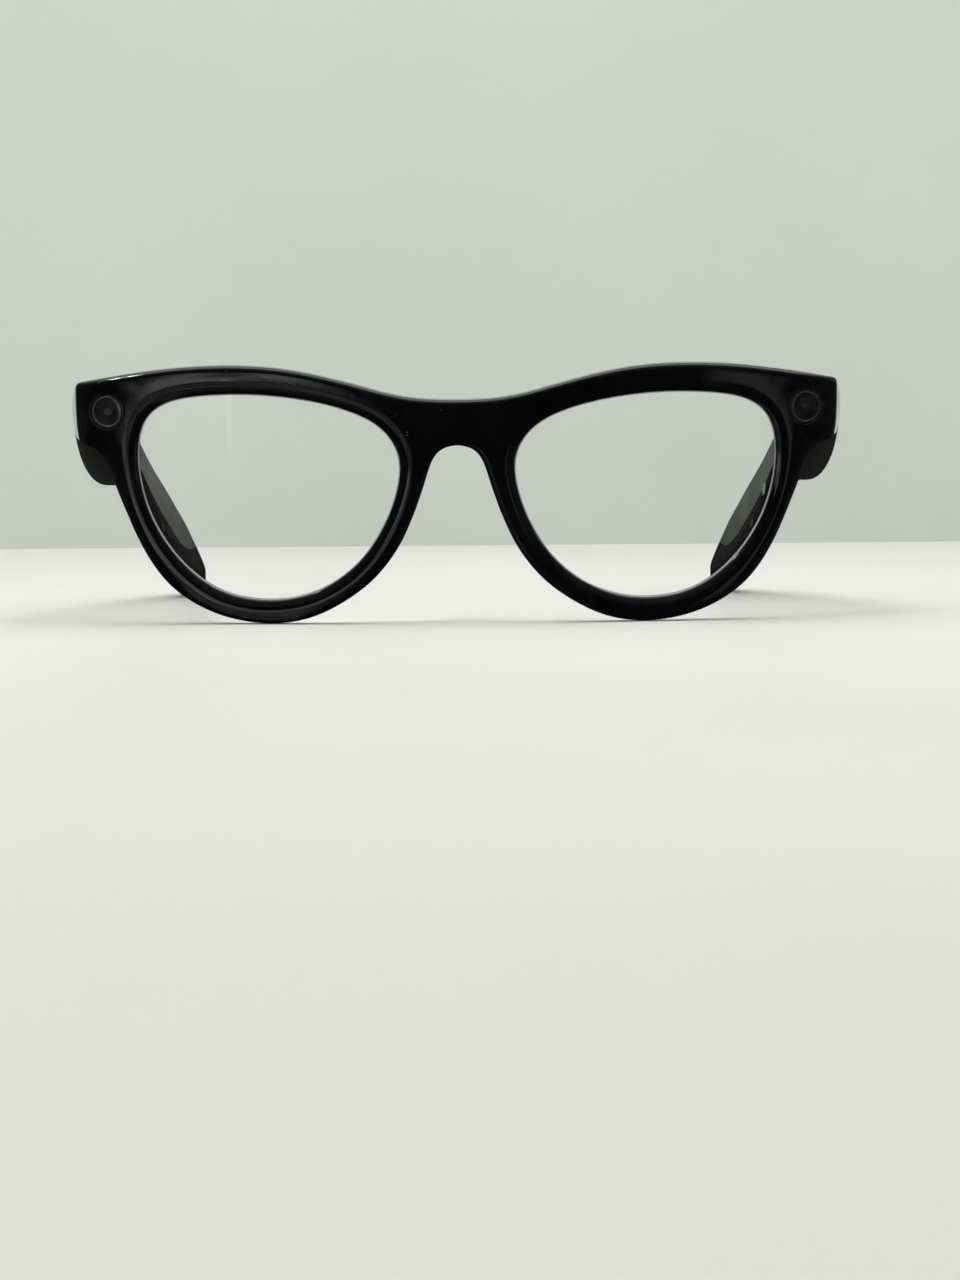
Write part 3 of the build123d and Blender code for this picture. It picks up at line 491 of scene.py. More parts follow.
circle_rings = [(np.stack([CIRCLE_X + cphi * r * np.cos(a), CIRCLE_V + r * np.sin(a)], 1), True, True)
                for a in [np.linspace(0, 2 * math.pi, 96, endpoint=False)]
                for r in (RO - 0.012, RO, RO + 0.02, RO + 0.06, RO + 0.13, RO + 0.22, RO + 0.4)]
sh, fr_out, fr_open, keep = build_sheet(FR_OUT, FR_OPEN, circle_rings, 0.55)
fp, ft, fwhere = sh.fill(keep)
d_out, d_open = distances(fp)
for ring, d in zip(fr_out, FR_OUT):
    for i in ring:
        d_out[fwhere[i]] = d
for ring, d in zip(fr_open, FR_OPEN):
    for i in ring:
        d_open[fwhere[i]] = d
fn = front_n(fp, d_out, d_open)
rho = ring_radius(fp)
fP = place(fp, fn)
f_edge = np.exp(-(d_out / 0.5) ** 2) + np.exp(-(d_open / 0.3) ** 2) \
    + np.exp(-((rho - RO) / 0.25) ** 2) * (rho > RO - 0.02)
print("front sheet", len(fp), len(ft))

# back sheet: the plate, the endpiece's solid, and the seats cut into them
SEATS = [(3.4, 11.4, 0.9, 1.4), (7.2, 12.0, 1.2, 1.3)]
PAD_V = (10.5, 12.3)
mic_path = np.array([(0, 12.3), (1.3, 12.3), (1.3, 10.5), (0, 10.5)])


def slot_lines():
    out = []
    for d in (0.6, 0.42, 0.25, 0.12, 0.04, 0.01):
        out.append((even(step_line + right_normals(step_line) * d, 0.3), False, True))
    for d in (0.01, 0.04, 0.12, 0.25, 0.4, 0.7):
        out.append((even(step_line - right_normals(step_line) * d, 0.3), False, True))
    pn = right_normals(pocket, closed=True)
    for d in (-0.012, 0.012):
        out.append((pocket + pn * d, True, True))
    for sgn in (1, -1):
        for d in (CHAN_W - 0.012, CHAN_W + 0.012, CHAN_W + 0.12, CHAN_W + 0.3):
            q = chan + chan_n * d * sgn
            q[0, 0] = 0
            out.append((q, False, True))
    for d in (CHAN_W - 0.012, CHAN_W + 0.012, CHAN_W + 0.12):
        a = np.linspace(-math.pi / 2, math.pi / 2, 13)[1:-1]
        t = np.array([-chan_n[-1][1], chan_n[-1][0]])
        q = chan[-1] + d * (np.outer(np.cos(a), t) + np.outer(np.sin(a), -chan_n[-1]))
        out.append((q, False, True))
    for cx, cy, r, _ in SEATS:
        for g in (-0.012, 0.012, 0.1, 0.25):
            out.append((around(cx, cy, r, 40, g), True, True))
    for g in (-0.012, 0.012):
        out.append((np.array([(0, 12.3 + g), (1.3 + g, 12.3 + g), (1.3 + g, 10.5 - g), (0, 10.5 - g)]), False, True))
    return out


if float(chan_n[0][1]) > 0:
    chan_n = -chan_n
# step_line runs down, then outwards: its right-hand side is the plate's
sh, bk_out, bk_open, keep = build_sheet(BK_OUT, BK_OPEN, slot_lines(), 0.5, gap=1.2)
bp, bt, bwhere = sh.fill(keep)
b_out, b_open = distances(bp)
for ring, d in zip(bk_out, BK_OUT):
    for i in ring:
        b_out[bwhere[i]] = d
for ring, d in zip(bk_open, BK_OPEN):
    for i in ring:
        b_open[bwhere[i]] = d
sd = step_signed(bp)
plate = np.sqrt((R_FRONT - RIM_T) ** 2 - bp[:, 0] ** 2)
foot_r, top_r = 0.6, 0.4
q = np.clip((foot_r - np.abs(sd)) / foot_r, 0, 1)
n_plate = plate + round_drop(b_out, R_OUT_B) + round_drop(b_open, R_OUT_B) - foot_r * (1 - np.sqrt(1 - q ** 2)) * (sd < 0)
n_block = plane_n(bp) + np.maximum(round_drop(b_out, 0.7), round_drop(np.maximum(sd, 0), top_r))
bn = np.where(sd > 0, n_block, n_plate)
in_pocket = inside(pocket, bp) & (np.array([tree_of(even(pocket, 0.02, True)).find((a, b, 0))[2] for a, b in bp[:1]])[0] >= 0)
bn = np.where(in_pocket, plane_n(bp, 15.0), bn)
ct_tree = tree_of(even(chan, 0.05))
cd = np.array([ct_tree.find((a, b, 0))[2] for a, b in bp])
in_chan = cd < CHAN_W
bn = np.where(in_chan & (sd < 0), plate + 0.92, np.where(cd < CHAN_W + 0.12, bn + round_drop(np.maximum(cd - CHAN_W, 0), 0.12) * (sd < 0), bn))
for cx, cy, r, depth in SEATS:
    rr = np.hypot(bp[:, 0] - cx, bp[:, 1] - cy)
    bn = np.where(rr < r, plate + depth, np.where(rr < r + 0.1, np.maximum(bn, plate + round_drop(rr - r, 0.1)), bn))
bn = np.where((np.abs(bp[:, 0]) < 1.3) & (np.abs(bp[:, 1] - 11.4) < 0.9), plate + 1.1, bn)
bP = block_warp(place(bp, bn))
fP = block_warp(fP)
print("back sheet", len(bp), len(bt))


def border_chains(tri):
    """Border edges of a triangle set, chained in their own direction."""
    use = {}
    for t in tri:
        for a, b in ((t[0], t[1]), (t[1], t[2]), (t[2], t[0])):
            use[(a, b)] = 1
    nxt = {a: b for a, b in use if (b, a) not in use}
    chains = []
    while nxt:
        a = next(iter(nxt))
        c = [a]
        while c[-1] in nxt:
            c.append(nxt.pop(c[-1]))
            if c[-1] == c[0]:
                break
        chains.append(c)
    return chains


def split_border(pts, tri):
    """The outer border from the brow to the nose arch, and the opening's border, as index lists."""
    chains = border_chains(tri)
    chains.sort(key=len, reverse=True)
    outer_c = max(chains, key=lambda c: np.ptp(pts[c][:, 0]))
    open_c = [c for c in chains if c is not outer_c][0]
    assert len(chains) == 2, [len(c) for c in chains]
    c = outer_c[:-1]
    on_axis = [abs(pts[i][0]) < 1e-7 for i in c]
    # rotate so that the run along x = 0 is at the end
    n = len(c)
    k = next(i for i in range(n) if on_axis[i] and not on_axis[(i + 1) % n])
    c, on_axis = c[k:] + c[:k], on_axis[k:] + on_axis[:k]
    m = next(i for i in range(1, n) if on_axis[i])
    c = c[:m + 1]
    if pts[c[0]][1] < pts[c[-1]][1]:
        c = c[::-1]
    o = open_c[:-1]
    return c, o


f_c, f_o = split_border(fp, ft)
b_c, b_o = split_border(bp, bt)


def zipper(a, b, pa, pb, flip=False, closed=False):
    """Triangles between two index rows that run the same way."""
    out = []
    if closed:
        j0 = int(np.argmin(np.linalg.norm(pb - pa[0], axis=1)))
        b = list(b[j0:]) + list(b[:j0])
        pb = np.vstack([pb[j0:], pb[:j0]])
        a, b = list(a) + [a[0]], list(b) + [b[0]]
        pa, pb = np.vstack([pa, pa[:1]]), np.vstack([pb, pb[:1]])
    i = j = 0
    while i < len(a) - 1 or j < len(b) - 1:
        if j == len(b) - 1 or (i < len(a) - 1 and np.linalg.norm(pa[i + 1] - pb[j]) <= np.linalg.norm(pb[j + 1] - pa[i])):
            t = (a[i], a[i + 1], b[j])
            i += 1
        else:
            t = (a[i], b[j + 1], b[j])
            j += 1
        out.append(t[::-1] if flip else t)
    return out


verts = [fP, bP]
nf, nb = len(fP), len(bP)
faces = [ft, bt[:, ::-1] + nf]       # the front sheet faces out of the front, the back sheet the other way
count = nf + nb


def same_way(o1, p1, o2, p2):
    """Turns the second closed row to the first one's direction."""
    def area(p):
        x, y = p[:, 0], p[:, 1]
        return np.sum(x * np.roll(y, -1) - y * np.roll(x, -1))
    return o2 if area(p1[o1]) * area(p2[o2]) > 0 else o2[::-1]


def wall(base_f, base_b, closed, levels):
    """Walls from the front sheet's border to the back sheet's, through the given levels."""
    global count
    pb2 = bp[base_b]
    near = KDTree(len(base_f))
    for i, k in enumerate(base_f):
        near.insert((fp[k][0], fp[k][1], 0), i)
    near.balance()
    nfr = np.array([fn[base_f[near.find((a, b, 0))[1]]] for a, b in pb2])
    rows = [list(base_f)]
    P_rows = [fP[base_f]]
    for lv in levels:
        n = nfr + (bn[base_b] - nfr) * lv
        P = block_warp(place(pb2, n))
        if not closed:
            P[0, 0] = P[-1, 0] = 0
        verts.append(P)
        rows.append(list(range(count, count + len(P))))
        P_rows.append(P)
        count += len(P)
    rows.append([nf + i for i in base_b])
    P_rows.append(bP[base_b])
    tris = []
    for k in range(len(rows) - 1):
        if k == 0:
            tris += zipper(rows[0], rows[1], fp[base_f], pb2, closed=closed)
        else:
            m = len(rows[k])
            for i in range(m if closed else m - 1):
                j = (i + 1) % m
                tris += [(rows[k][i], rows[k][j], rows[k + 1][j]), (rows[k][i], rows[k + 1][j], rows[k + 1][i])]
    return tris


b_o = same_way(f_o, fp, b_o, bp)
w1 = np.array(wall(f_c, b_c, False, [0.12, 0.3, 0.45, 0.6, 0.75, 0.88]))
w2 = np.array(wall(f_o, b_o, True, [0.15, 0.4, 0.7]))


def outward(tris, allv, centre_fn):
    c = np.cross(allv[tris[:, 1]] - allv[tris[:, 0]], allv[tris[:, 2]] - allv[tris[:, 0]])
    mid = allv[tris].mean(axis=1)
    return float(np.sum(c * centre_fn(mid)))


allv = np.vstack(verts)
mid_out = allv[w1].mean(axis=1)
# outer wall: away from the half's middle line; opening wall: towards the opening's centre
lens_c = place(np.array([[37.0, -1.0]]), np.array([R_FRONT - 5.0]))[0]
if outward(w1, allv, lambda m: m - lens_c) < 0:
    w1 = w1[:, ::-1]
if outward(w2, allv, lambda m: lens_c - m) < 0:
    w2 = w2[:, ::-1]
# front sheet must face NN
c = np.cross(allv[ft[:, 1]] - allv[ft[:, 0]], allv[ft[:, 2]] - allv[ft[:, 0]])
if float(np.sum(c @ NN)) < 0:
    faces = [ft[:, ::-1], bt + nf]
tris = np.vstack(faces + [w1, w2])
# mirror, and sew along x = 0
axis_i = np.where(np.abs(allv[:, 0]) < 1e-6)[0]
mir = allv * np.array([-1, 1, 1])
remap = np.arange(len(allv)) + len(allv)
remap[axis_i] = axis_i
full_v = np.vstack([allv, mir])
full_t = np.vstack([tris, remap[tris][:, ::-1]])
used, inv = np.unique(full_t, return_inverse=True)
full_t = inv.reshape(full_t.shape)
full_v = full_v[used]
bad = {}
for t in full_t:
    for a, b in ((t[0], t[1]), (t[1], t[2]), (t[2], t[0])):
        bad[(a, b)] = bad.get((a, b), 0) + 1
loose = sum(1 for (a, b), k in bad.items() if k != 1 or (b, a) not in bad)
print("front mesh", len(full_v), len(full_t), "edges not closed:", loose)
edge_attr = np.zeros(len(allv))
edge_attr[:nf] = np.clip(f_edge, 0, 1)
edge_attr = np.concatenate([edge_attr, edge_attr])[used]
front = mesh_object("front_rims", full_v, full_t, {"edge": edge_attr})
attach(front, "front")
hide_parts("front_frame")


# ------------------------------------------------------------------ lenses
def plate_point(p, depth):
    """Points at the given depth behind the front's outer surface."""
    return place(p, np.sqrt((R_FRONT - depth) ** 2 - p[:, 0] ** 2))


def mirrored_copy(v, f):
    return v * np.array([-1.0, 1, 1]), [tuple(t)[::-1] for t in f]


def both_sides(name, v, f, attrs=None, body="front", replaces=(), mirror_first=False):
    """The piece for the +X side and its mirror image for the other."""
    made = []
    for sfx, (vv, ff) in (("left", (np.asarray(v), [tuple(t) for t in f])), ("right", mirrored_copy(np.asarray(v), f))):
        o = mesh_object(name + "_" + sfx, vv, ff, attrs)
        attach(o, body if body == "front" else body + "_" + sfx)
        for n in replaces:
            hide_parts(n + "_" + sfx)
        made.append(o)
    return made


LENS_F, LENS_B, GROW, CHAMFER = 1.5, 3.4, 0.6, 0.35
lens_rim = even(open_fine, 0.5, closed=True)
lens_rim_n = right_normals(lens_rim, closed=True)       # into the opening


def lens_mesh():
    sh = Sheet()
    inset = [0.0, CHAMFER, CHAMFER + 0.08, 1.0, 2.2, 4.0]
    for d in inset:
        sh.line(even(lens_rim + lens_rim_n * (d - GROW), 0.5 + 0.3 * d, closed=True), closed=True)
    grid = hex_points(None, 5, 70, -27, 25, 1.9)
    border = lens_rim + lens_rim_n * (4.9 - GROW)
    sh.points(grid[inside(border, grid)])
    edge_poly = lens_rim - lens_rim_n * GROW
    p, t, _ = sh.fill(lambda mid: inside(edge_poly, mid))
    tr = tree_of(even(edge_poly, 0.05, closed=True))
    d = np.array([tr.find((a, b, 0))[2] for a, b in p])
    cut = np.maximum(0, CHAMFER - d)
    top = plate_point(p, LENS_F + 0.0) + np.outer(cut, -NN) * 0.9
    low = plate_point(p, LENS_B) + np.outer(cut, NN) * 0.9
    n = len(p)
    faces = [tuple(x) for x in t] + [tuple(x[::-1] + n) for x in t]
    ring = border_chains(t)[0][:-1]
    for a, b in zip(ring, ring[1:] + ring[:1]):
        faces += [(b, a, a + n), (b, a + n, b + n)]
    v = np.vstack([top, low])
    # the first half faces out of the front
    q = v[list(faces[0])]
    if np.dot(np.cross(q[1] - q[0], q[2] - q[0]), NN) < 0:
        faces = [f[::-1] for f in faces]
    return v, faces, np.concatenate([np.exp(-d / 0.5)] * 2)


lv, lf, la = lens_mesh()
lenses = both_sides("lens_glass", lv, lf, {"edge": la})


def true_lens_normals(o):
    """The curved faces shade by their own cylinder, and the chamfer and edge by their faces."""
    me = o.data
    c = CENTRE * 0.001
    out = [None] * len(me.loops)
    for f in me.polygons:
        fn_ = np.array(f.normal)
        for li in f.loop_indices:
            q = np.array(me.vertices[me.loops[li].vertex_index].co) - c
            q = q - VV * q.dot(VV)
            q /= np.linalg.norm(q)
            d = fn_.dot(q)
            out[li] = tuple(q * np.sign(d)) if abs(d) > 0.97 else tuple(fn_)
    me.normals_split_custom_set(out)


for o in lenses:
    true_lens_normals(o)
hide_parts("lens_left")
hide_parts("lens_right")


# a pale opaque bead round each lens: its pale colour is a painted highlight that stands in for the lit lens edge, and
# the lamps shade it brighter below than above
def swept_ring(path, inward, depth_of, profile):
    """Closed tube round an opening: profile points are (into the opening, towards the front)."""
    m, n = len(profile), len(path)
    v = []
    for k, (a, b) in enumerate(profile):
        q = path + inward * a
        v.append(place(q, np.sqrt(R_FRONT ** 2 - q[:, 0] ** 2) - depth_of + b))
    v = np.stack(v, 1).reshape(-1, 3)
    f = []
    for i in range(n):
        j = (i + 1) % n
        for k in range(m):
            l = (k + 1) % m
            f.append((i * m + k, i * m + l, j * m + l, j * m + k))
    return v, f


def fix_out(v, f):
    """Turns a closed mesh's faces outwards."""
    vol = 0.0
    c = v.mean(axis=0)
    for t in f:
        q = v[list(t)] - c
        for i in range(1, len(t) - 1):
            vol += np.dot(q[0], np.cross(q[i], q[i + 1]))
    return [tuple(t)[::-1] for t in f] if vol < 0 else [tuple(t) for t in f]


bead_profile = [(-0.12, -0.06), (0.17, -0.055), (0.185, -0.02), (0.17, 0.03), (0.12, 0.085), (0.05, 0.14), (-0.02, 0.165), (-0.12, 0.16)]
bv, bf = swept_ring(lens_rim, lens_rim_n, LENS_F, bead_profile)
beads = both_sides("lens_bead", bv, fix_out(bv, bf))


# ------------------------------------------------------------------ rings, windows
def face_frame(x, v):
    h = math.sqrt(R_FRONT ** 2 - x * x)
    n = np.array([x, 0, 0]) / R_FRONT + NN * (h / R_FRONT)
    o = CENTRE + n * R_FRONT + VV * v
    xd = np.cross(VV, n)
    return o, xd / np.linalg.norm(xd), VV, n


def lathe(profile, side, n=96, cap=True):
    """Turned shape about the circle's axis; profile points are (radius, height out of the face)."""
    o, xd, yd, nn = face_frame(CIRCLE_X * side, CIRCLE_V)
    v, f, rings = [], [], []
    for r, h in profile:
        if r < 1e-6:
            rings.append([len(v)])
            v.append(o + nn * h)
        else:
            ids = []
            for a in np.linspace(0, 2 * math.pi, n, endpoint=False):
                ids.append(len(v))
                v.append(o + xd * r * math.cos(a) + yd * r * math.sin(a) + nn * h)
            rings.append(ids)
    for a, b in zip(rings, rings[1:]):
        for i in range(n):
            j = (i + 1) % n
            if len(a) == 1 and len(b) == 1:
                continue
            if len(a) == 1:
                f.append((a[0], b[i], b[j]))
            elif len(b) == 1:
                f.append((a[i], b[0], a[j]))
            else:
                f.append((a[i], b[i], b[j], a[j]))
    v = np.array(v)
    return v, fix_out(v, f)


def closed_profile(pts):
    return pts + [pts[0]]


def turned(name, profile, side):
    v, f = lathe(profile, side)
    o = mesh_object(name, v, f)
    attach(o, "front")
    return o


# black collar with a thin satin ring inside it, then the window
COLLAR = closed_profile([(3.40, -0.95), (3.40, -0.16), (3.385, -0.10), (3.34, -0.06), (3.27, -0.05), (3.02, -0.05), (2.975, -0.07),
                         (2.955, -0.12), (2.955, -0.95)])
METAL = closed_profile([(2.95, -0.9), (2.95, -0.10), (2.93, -0.055), (2.88, -0.03), (2.80, -0.03), (2.755, -0.06), (2.74, -0.12), (2.74, -0.9)])
WINDOW = [(0.0, -0.16), (0.6, -0.16), (1.3, -0.163), (2.0, -0.17), (2.5, -0.18), (2.68, -0.19), (2.725, -0.22), (2.73, -0.3),
          (2.73, -0.46), (2.7, -0.5), (0.0, -0.5)]
BACKING = [(0.0, -0.86), (1.0, -0.86), (2.4, -0.86), (2.65, -0.87), (2.7, -0.89), (2.7, -0.98), (0.0, -0.98)]
LED_DOME = [(0.0, -0.505), (0.3, -0.51), (0.55, -0.52), (0.70, -0.54), (0.77, -0.57), (0.79, -0.61), (0.79, -0.9), (0.0, -0.9)]
CAM_TUBE = closed_profile([(1.62, -0.56), (1.60, -0.545), (1.13, -0.545), (1.09, -0.56), (1.07, -0.9), (1.62, -0.9)])
CAM_RING = closed_profile([(1.07, -0.515), (1.05, -0.503), (0.97, -0.503), (0.94, -0.52), (0.93, -0.9), (1.07, -0.9)])
CAM_DOME = [(0.0, -0.84), (0.15, -0.825), (0.3, -0.775), (0.42, -0.70), (0.5, -0.625), (0.55, -0.56), (0.58, -0.55), (0.60, -0.57), (0.60, -0.92), (0.0, -0.92)]

circle_parts = {}
for side, who in ((1, "camera"), (-1, "led")):
    circle_parts[who + "_collar"] = turned(who + "_collar", COLLAR, side)
    circle_parts[who + "_ring"] = turned(who + "_ring", METAL, side)
    circle_parts[who + "_glass"] = turned(who + "_glass", WINDOW, side)
    circle_parts[who + "_backing"] = turned(who + "_backing", BACKING, side)
    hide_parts(who + "_bezel")
    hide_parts(who + "_window")
circle_parts["led_diffuser"] = turned("led_diffuser", LED_DOME, -1)
circle_parts["camera_lens_mount"] = turned("camera_lens_mount", CAM_TUBE, 1)
circle_parts["camera_lens_ring"] = turned("camera_lens_ring", CAM_RING, 1)
circle_parts["camera_lens_dome"] = turned("camera_lens_dome", CAM_DOME, 1)


# ------------------------------------------------------------------ nose pads
def nose_pad_mesh():
    """Smooth pad: elliptical rings on the rim's back that draw in to a rounded crest."""
    levels = [  # distance behind the rims' back, centre, half length, half width
        (-0.9, 10.8, -4.9, 7.55, 2.2), (-0.05, 10.8, -4.9, 7.5, 2.15), (0.15, 10.79, -4.88, 7.3, 2.02), (0.5, 10.77, -4.85, 7.1, 1.93),
        (1.2, 10.75, -4.82, 6.95, 1.9), (2.0, 10.73, -4.76, 6.7, 1.88), (3.0, 10.7, -4.7, 6.35, 1.82), (3.9, 10.67, -4.63, 5.85, 1.68),
        (4.7, 10.63, -4.56, 5.15, 1.47), (5.35, 10.6, -4.5, 4.35, 1.2), (5.8, 10.57, -4.45, 3.4, 0.9), (6.05, 10.55, -4.42, 2.4, 0.6),
        (6.17, 10.55, -4.4, 1.2, 0.28)]
    n = 72
    a = np.linspace(0, 2 * math.pi, n, endpoint=False)
    rot = math.radians(-66)
    v, f = [], []
    for w, cx, cy, la_, lb in levels:
        ex, ey = la_ * np.sign(np.cos(a)) * np.abs(np.cos(a)) ** 0.92, lb * np.sign(np.sin(a)) * np.abs(np.sin(a)) ** 0.92
        p = np.stack([cx + ex * math.cos(rot) - ey * math.sin(rot), cy + ex * math.sin(rot) + ey * math.cos(rot)], 1)
        base = np.sqrt((R_FRONT - RIM_T) ** 2 - p[:, 0] ** 2)
        flat = R_FRONT - RIM_T
        k = np.clip(w / 3.0, 0, 1)
        v.append(place(p, base * (1 - k) + (flat - w * 0) * k - w))
    m = len(levels)
    v = np.vstack(v)
    for k in range(m - 1):
        for i in range(n):
            j = (i + 1) % n
            f.append((k * n + i, k * n + j, (k + 1) * n + j, (k + 1) * n + i))
    top = len(v)
    v = np.vstack([v, v[(m - 1) * n:m * n].mean(axis=0)[None] - NN * 0.02, v[:n].mean(axis=0)[None]])
    for i in range(n):
        j = (i + 1) % n
        f.append(((m - 1) * n + i, (m - 1) * n + j, top))
        f.append((j, i, top + 1))
    return v, fix_out(v, f)


nv, nfaces = nose_pad_mesh()
pads = both_sides("nose_pad_smooth", nv, nfaces, replaces=("nose_pad",))


# ------------------------------------------------------------------ materials
def link(nt, a, b):
    nt.links.new(a, b)


class Mat:
    """A material's node tree with short names for the nodes it is made of."""

    def __init__(self, name, rough=0.4, metal=0.0, spec=0.5, **fixed):
        self.m = bpy.data.materials.new(name)
        self.m.use_nodes = True
        self.nt = self.m.node_tree
        self.bsdf = self.nt.nodes["Principled BSDF"]
        self.out = self.nt.nodes["Material Output"]
        self.bsdf.inputs["Roughness"].default_value = rough
        self.bsdf.inputs["Metallic"].default_value = metal
        self.bsdf.inputs["Specular IOR Level"].default_value = spec
        for k, v in fixed.items():
            self.bsdf.inputs[k.replace("_", " ")].default_value = v
        self.co = self.nt.nodes.new("ShaderNodeTexCoord").outputs["Object"]

    def add(self, kind, **kw):
        n = self.nt.nodes.new(kind)
        for k, v in kw.items():
            setattr(n, k, v)
        return n

    def mapped(self, scale, rot=(0, 0, 0), loc=(0, 0, 0)):
        n = self.add("ShaderNodeMapping")
        n.inputs["Scale"].default_value = scale
        n.inputs["Rotation"].default_value = rot
        n.inputs["Location"].default_value = loc
        link(self.nt, self.co, n.inputs["Vector"])
        return n.outputs["Vector"]

    def noise(self, scale, detail=4.0, rough=0.5, stretch=(1, 1, 1), rot=(0, 0, 0), distortion=0.0, loc=(0, 0, 0)):
        n = self.add("ShaderNodeTexNoise")
        n.inputs["Scale"].default_value = scale
        n.inputs["Detail"].default_value = detail
        n.inputs["Roughness"].default_value = rough
        n.inputs["Distortion"].default_value = distortion
        link(self.nt, self.mapped(stretch, rot, loc), n.inputs["Vector"])
        return n.outputs["Fac"]

    def voronoi(self, scale, feature="F1", rand=1.0, stretch=(1, 1, 1)):
        n = self.add("ShaderNodeTexVoronoi", feature=feature)
        n.inputs["Scale"].default_value = scale
        n.inputs["Randomness"].default_value = rand
        link(self.nt, self.mapped(stretch), n.inputs["Vector"])
        return n

    def ramp(self, fac, a, b, lo=0.0, hi=1.0, smooth=True):
        n = self.add("ShaderNodeMapRange", interpolation_type="SMOOTHSTEP" if smooth else "LINEAR")
        for k, v in (("From Min", a), ("From Max", b), ("To Min", lo), ("To Max", hi)):
            n.inputs[k].default_value = v
        link(self.nt, fac, n.inputs["Value"])
        return n.outputs["Result"]

    def math(self, op, a, b=0.0, clamp=False):
        n = self.add("ShaderNodeMath", operation=op, use_clamp=clamp)
        for i, x in enumerate((a, b)):
            if isinstance(x, (int, float)):
                n.inputs[i].default_value = x
            else:
                link(self.nt, x, n.inputs[i])
        return n.outputs[0]

    def mix(self, fac, a, b):
        n = self.add("ShaderNodeMix", data_type="RGBA")
        if isinstance(fac, (int, float)):
            n.inputs[0].default_value = fac
        else:
            link(self.nt, fac, n.inputs[0])
        for i, x in ((6, a), (7, b)):
            if isinstance(x, (tuple, list)):
                n.inputs[i].default_value = (*x, 1)
            else:
                link(self.nt, x, n.inputs[i])
        return n.outputs[2]

    def attr(self, name):
        n = self.add("ShaderNodeAttribute", attribute_name=name)
        return n.outputs["Fac"]

    def axis(self, k):
        n = self.add("ShaderNodeSeparateXYZ")
        link(self.nt, self.co, n.inputs[0])
        return n.outputs[k]

    def set(self, socket, value):
        link(self.nt, value, self.bsdf.inputs[socket])

    def bump(self, *layers):
        """Layers of (height, strength, distance in metres), one on top of the other."""
        last = None
        for h, strength, dist in layers:
            n = self.add("ShaderNodeBump")
            n.inputs["Strength"].default_value = strength
            n.inputs["Distance"].default_value = dist
            link(self.nt, h, n.inputs["Height"])
            if last is not None:
                link(self.nt, last, n.inputs["Normal"])
            last = n.outputs["Normal"]
        link(self.nt, last, self.bsdf.inputs["Normal"])


def dust_mask(m, scale, size, share):
    """Sparse round specks: cells of the given density, of which only a share hold a speck."""
    v = m.voronoi(scale)
    near = m.ramp(v.outputs["Distance"], size, size * 0.45, 0.0, 1.0)
    sep = m.add("ShaderNodeSeparateColor")
    link(m.nt, v.outputs["Color"], sep.inputs[0])
    pick = m.math("LESS_THAN", sep.outputs[0], share)
    return m.math("MULTIPLY", near, pick)


def hairlines(m, scale, rot, amount=0.72):
    """Fine straight scratches in one direction."""
    n = m.noise(scale, 2.0, 0.6, stretch=(1, 0.02, 1), rot=rot)
    w = m.noise(scale * 0.06, 2.0, 0.5)
    return m.math("MULTIPLY", m.ramp(n, amount, amount + 0.05), m.ramp(w, 0.5, 0.62))


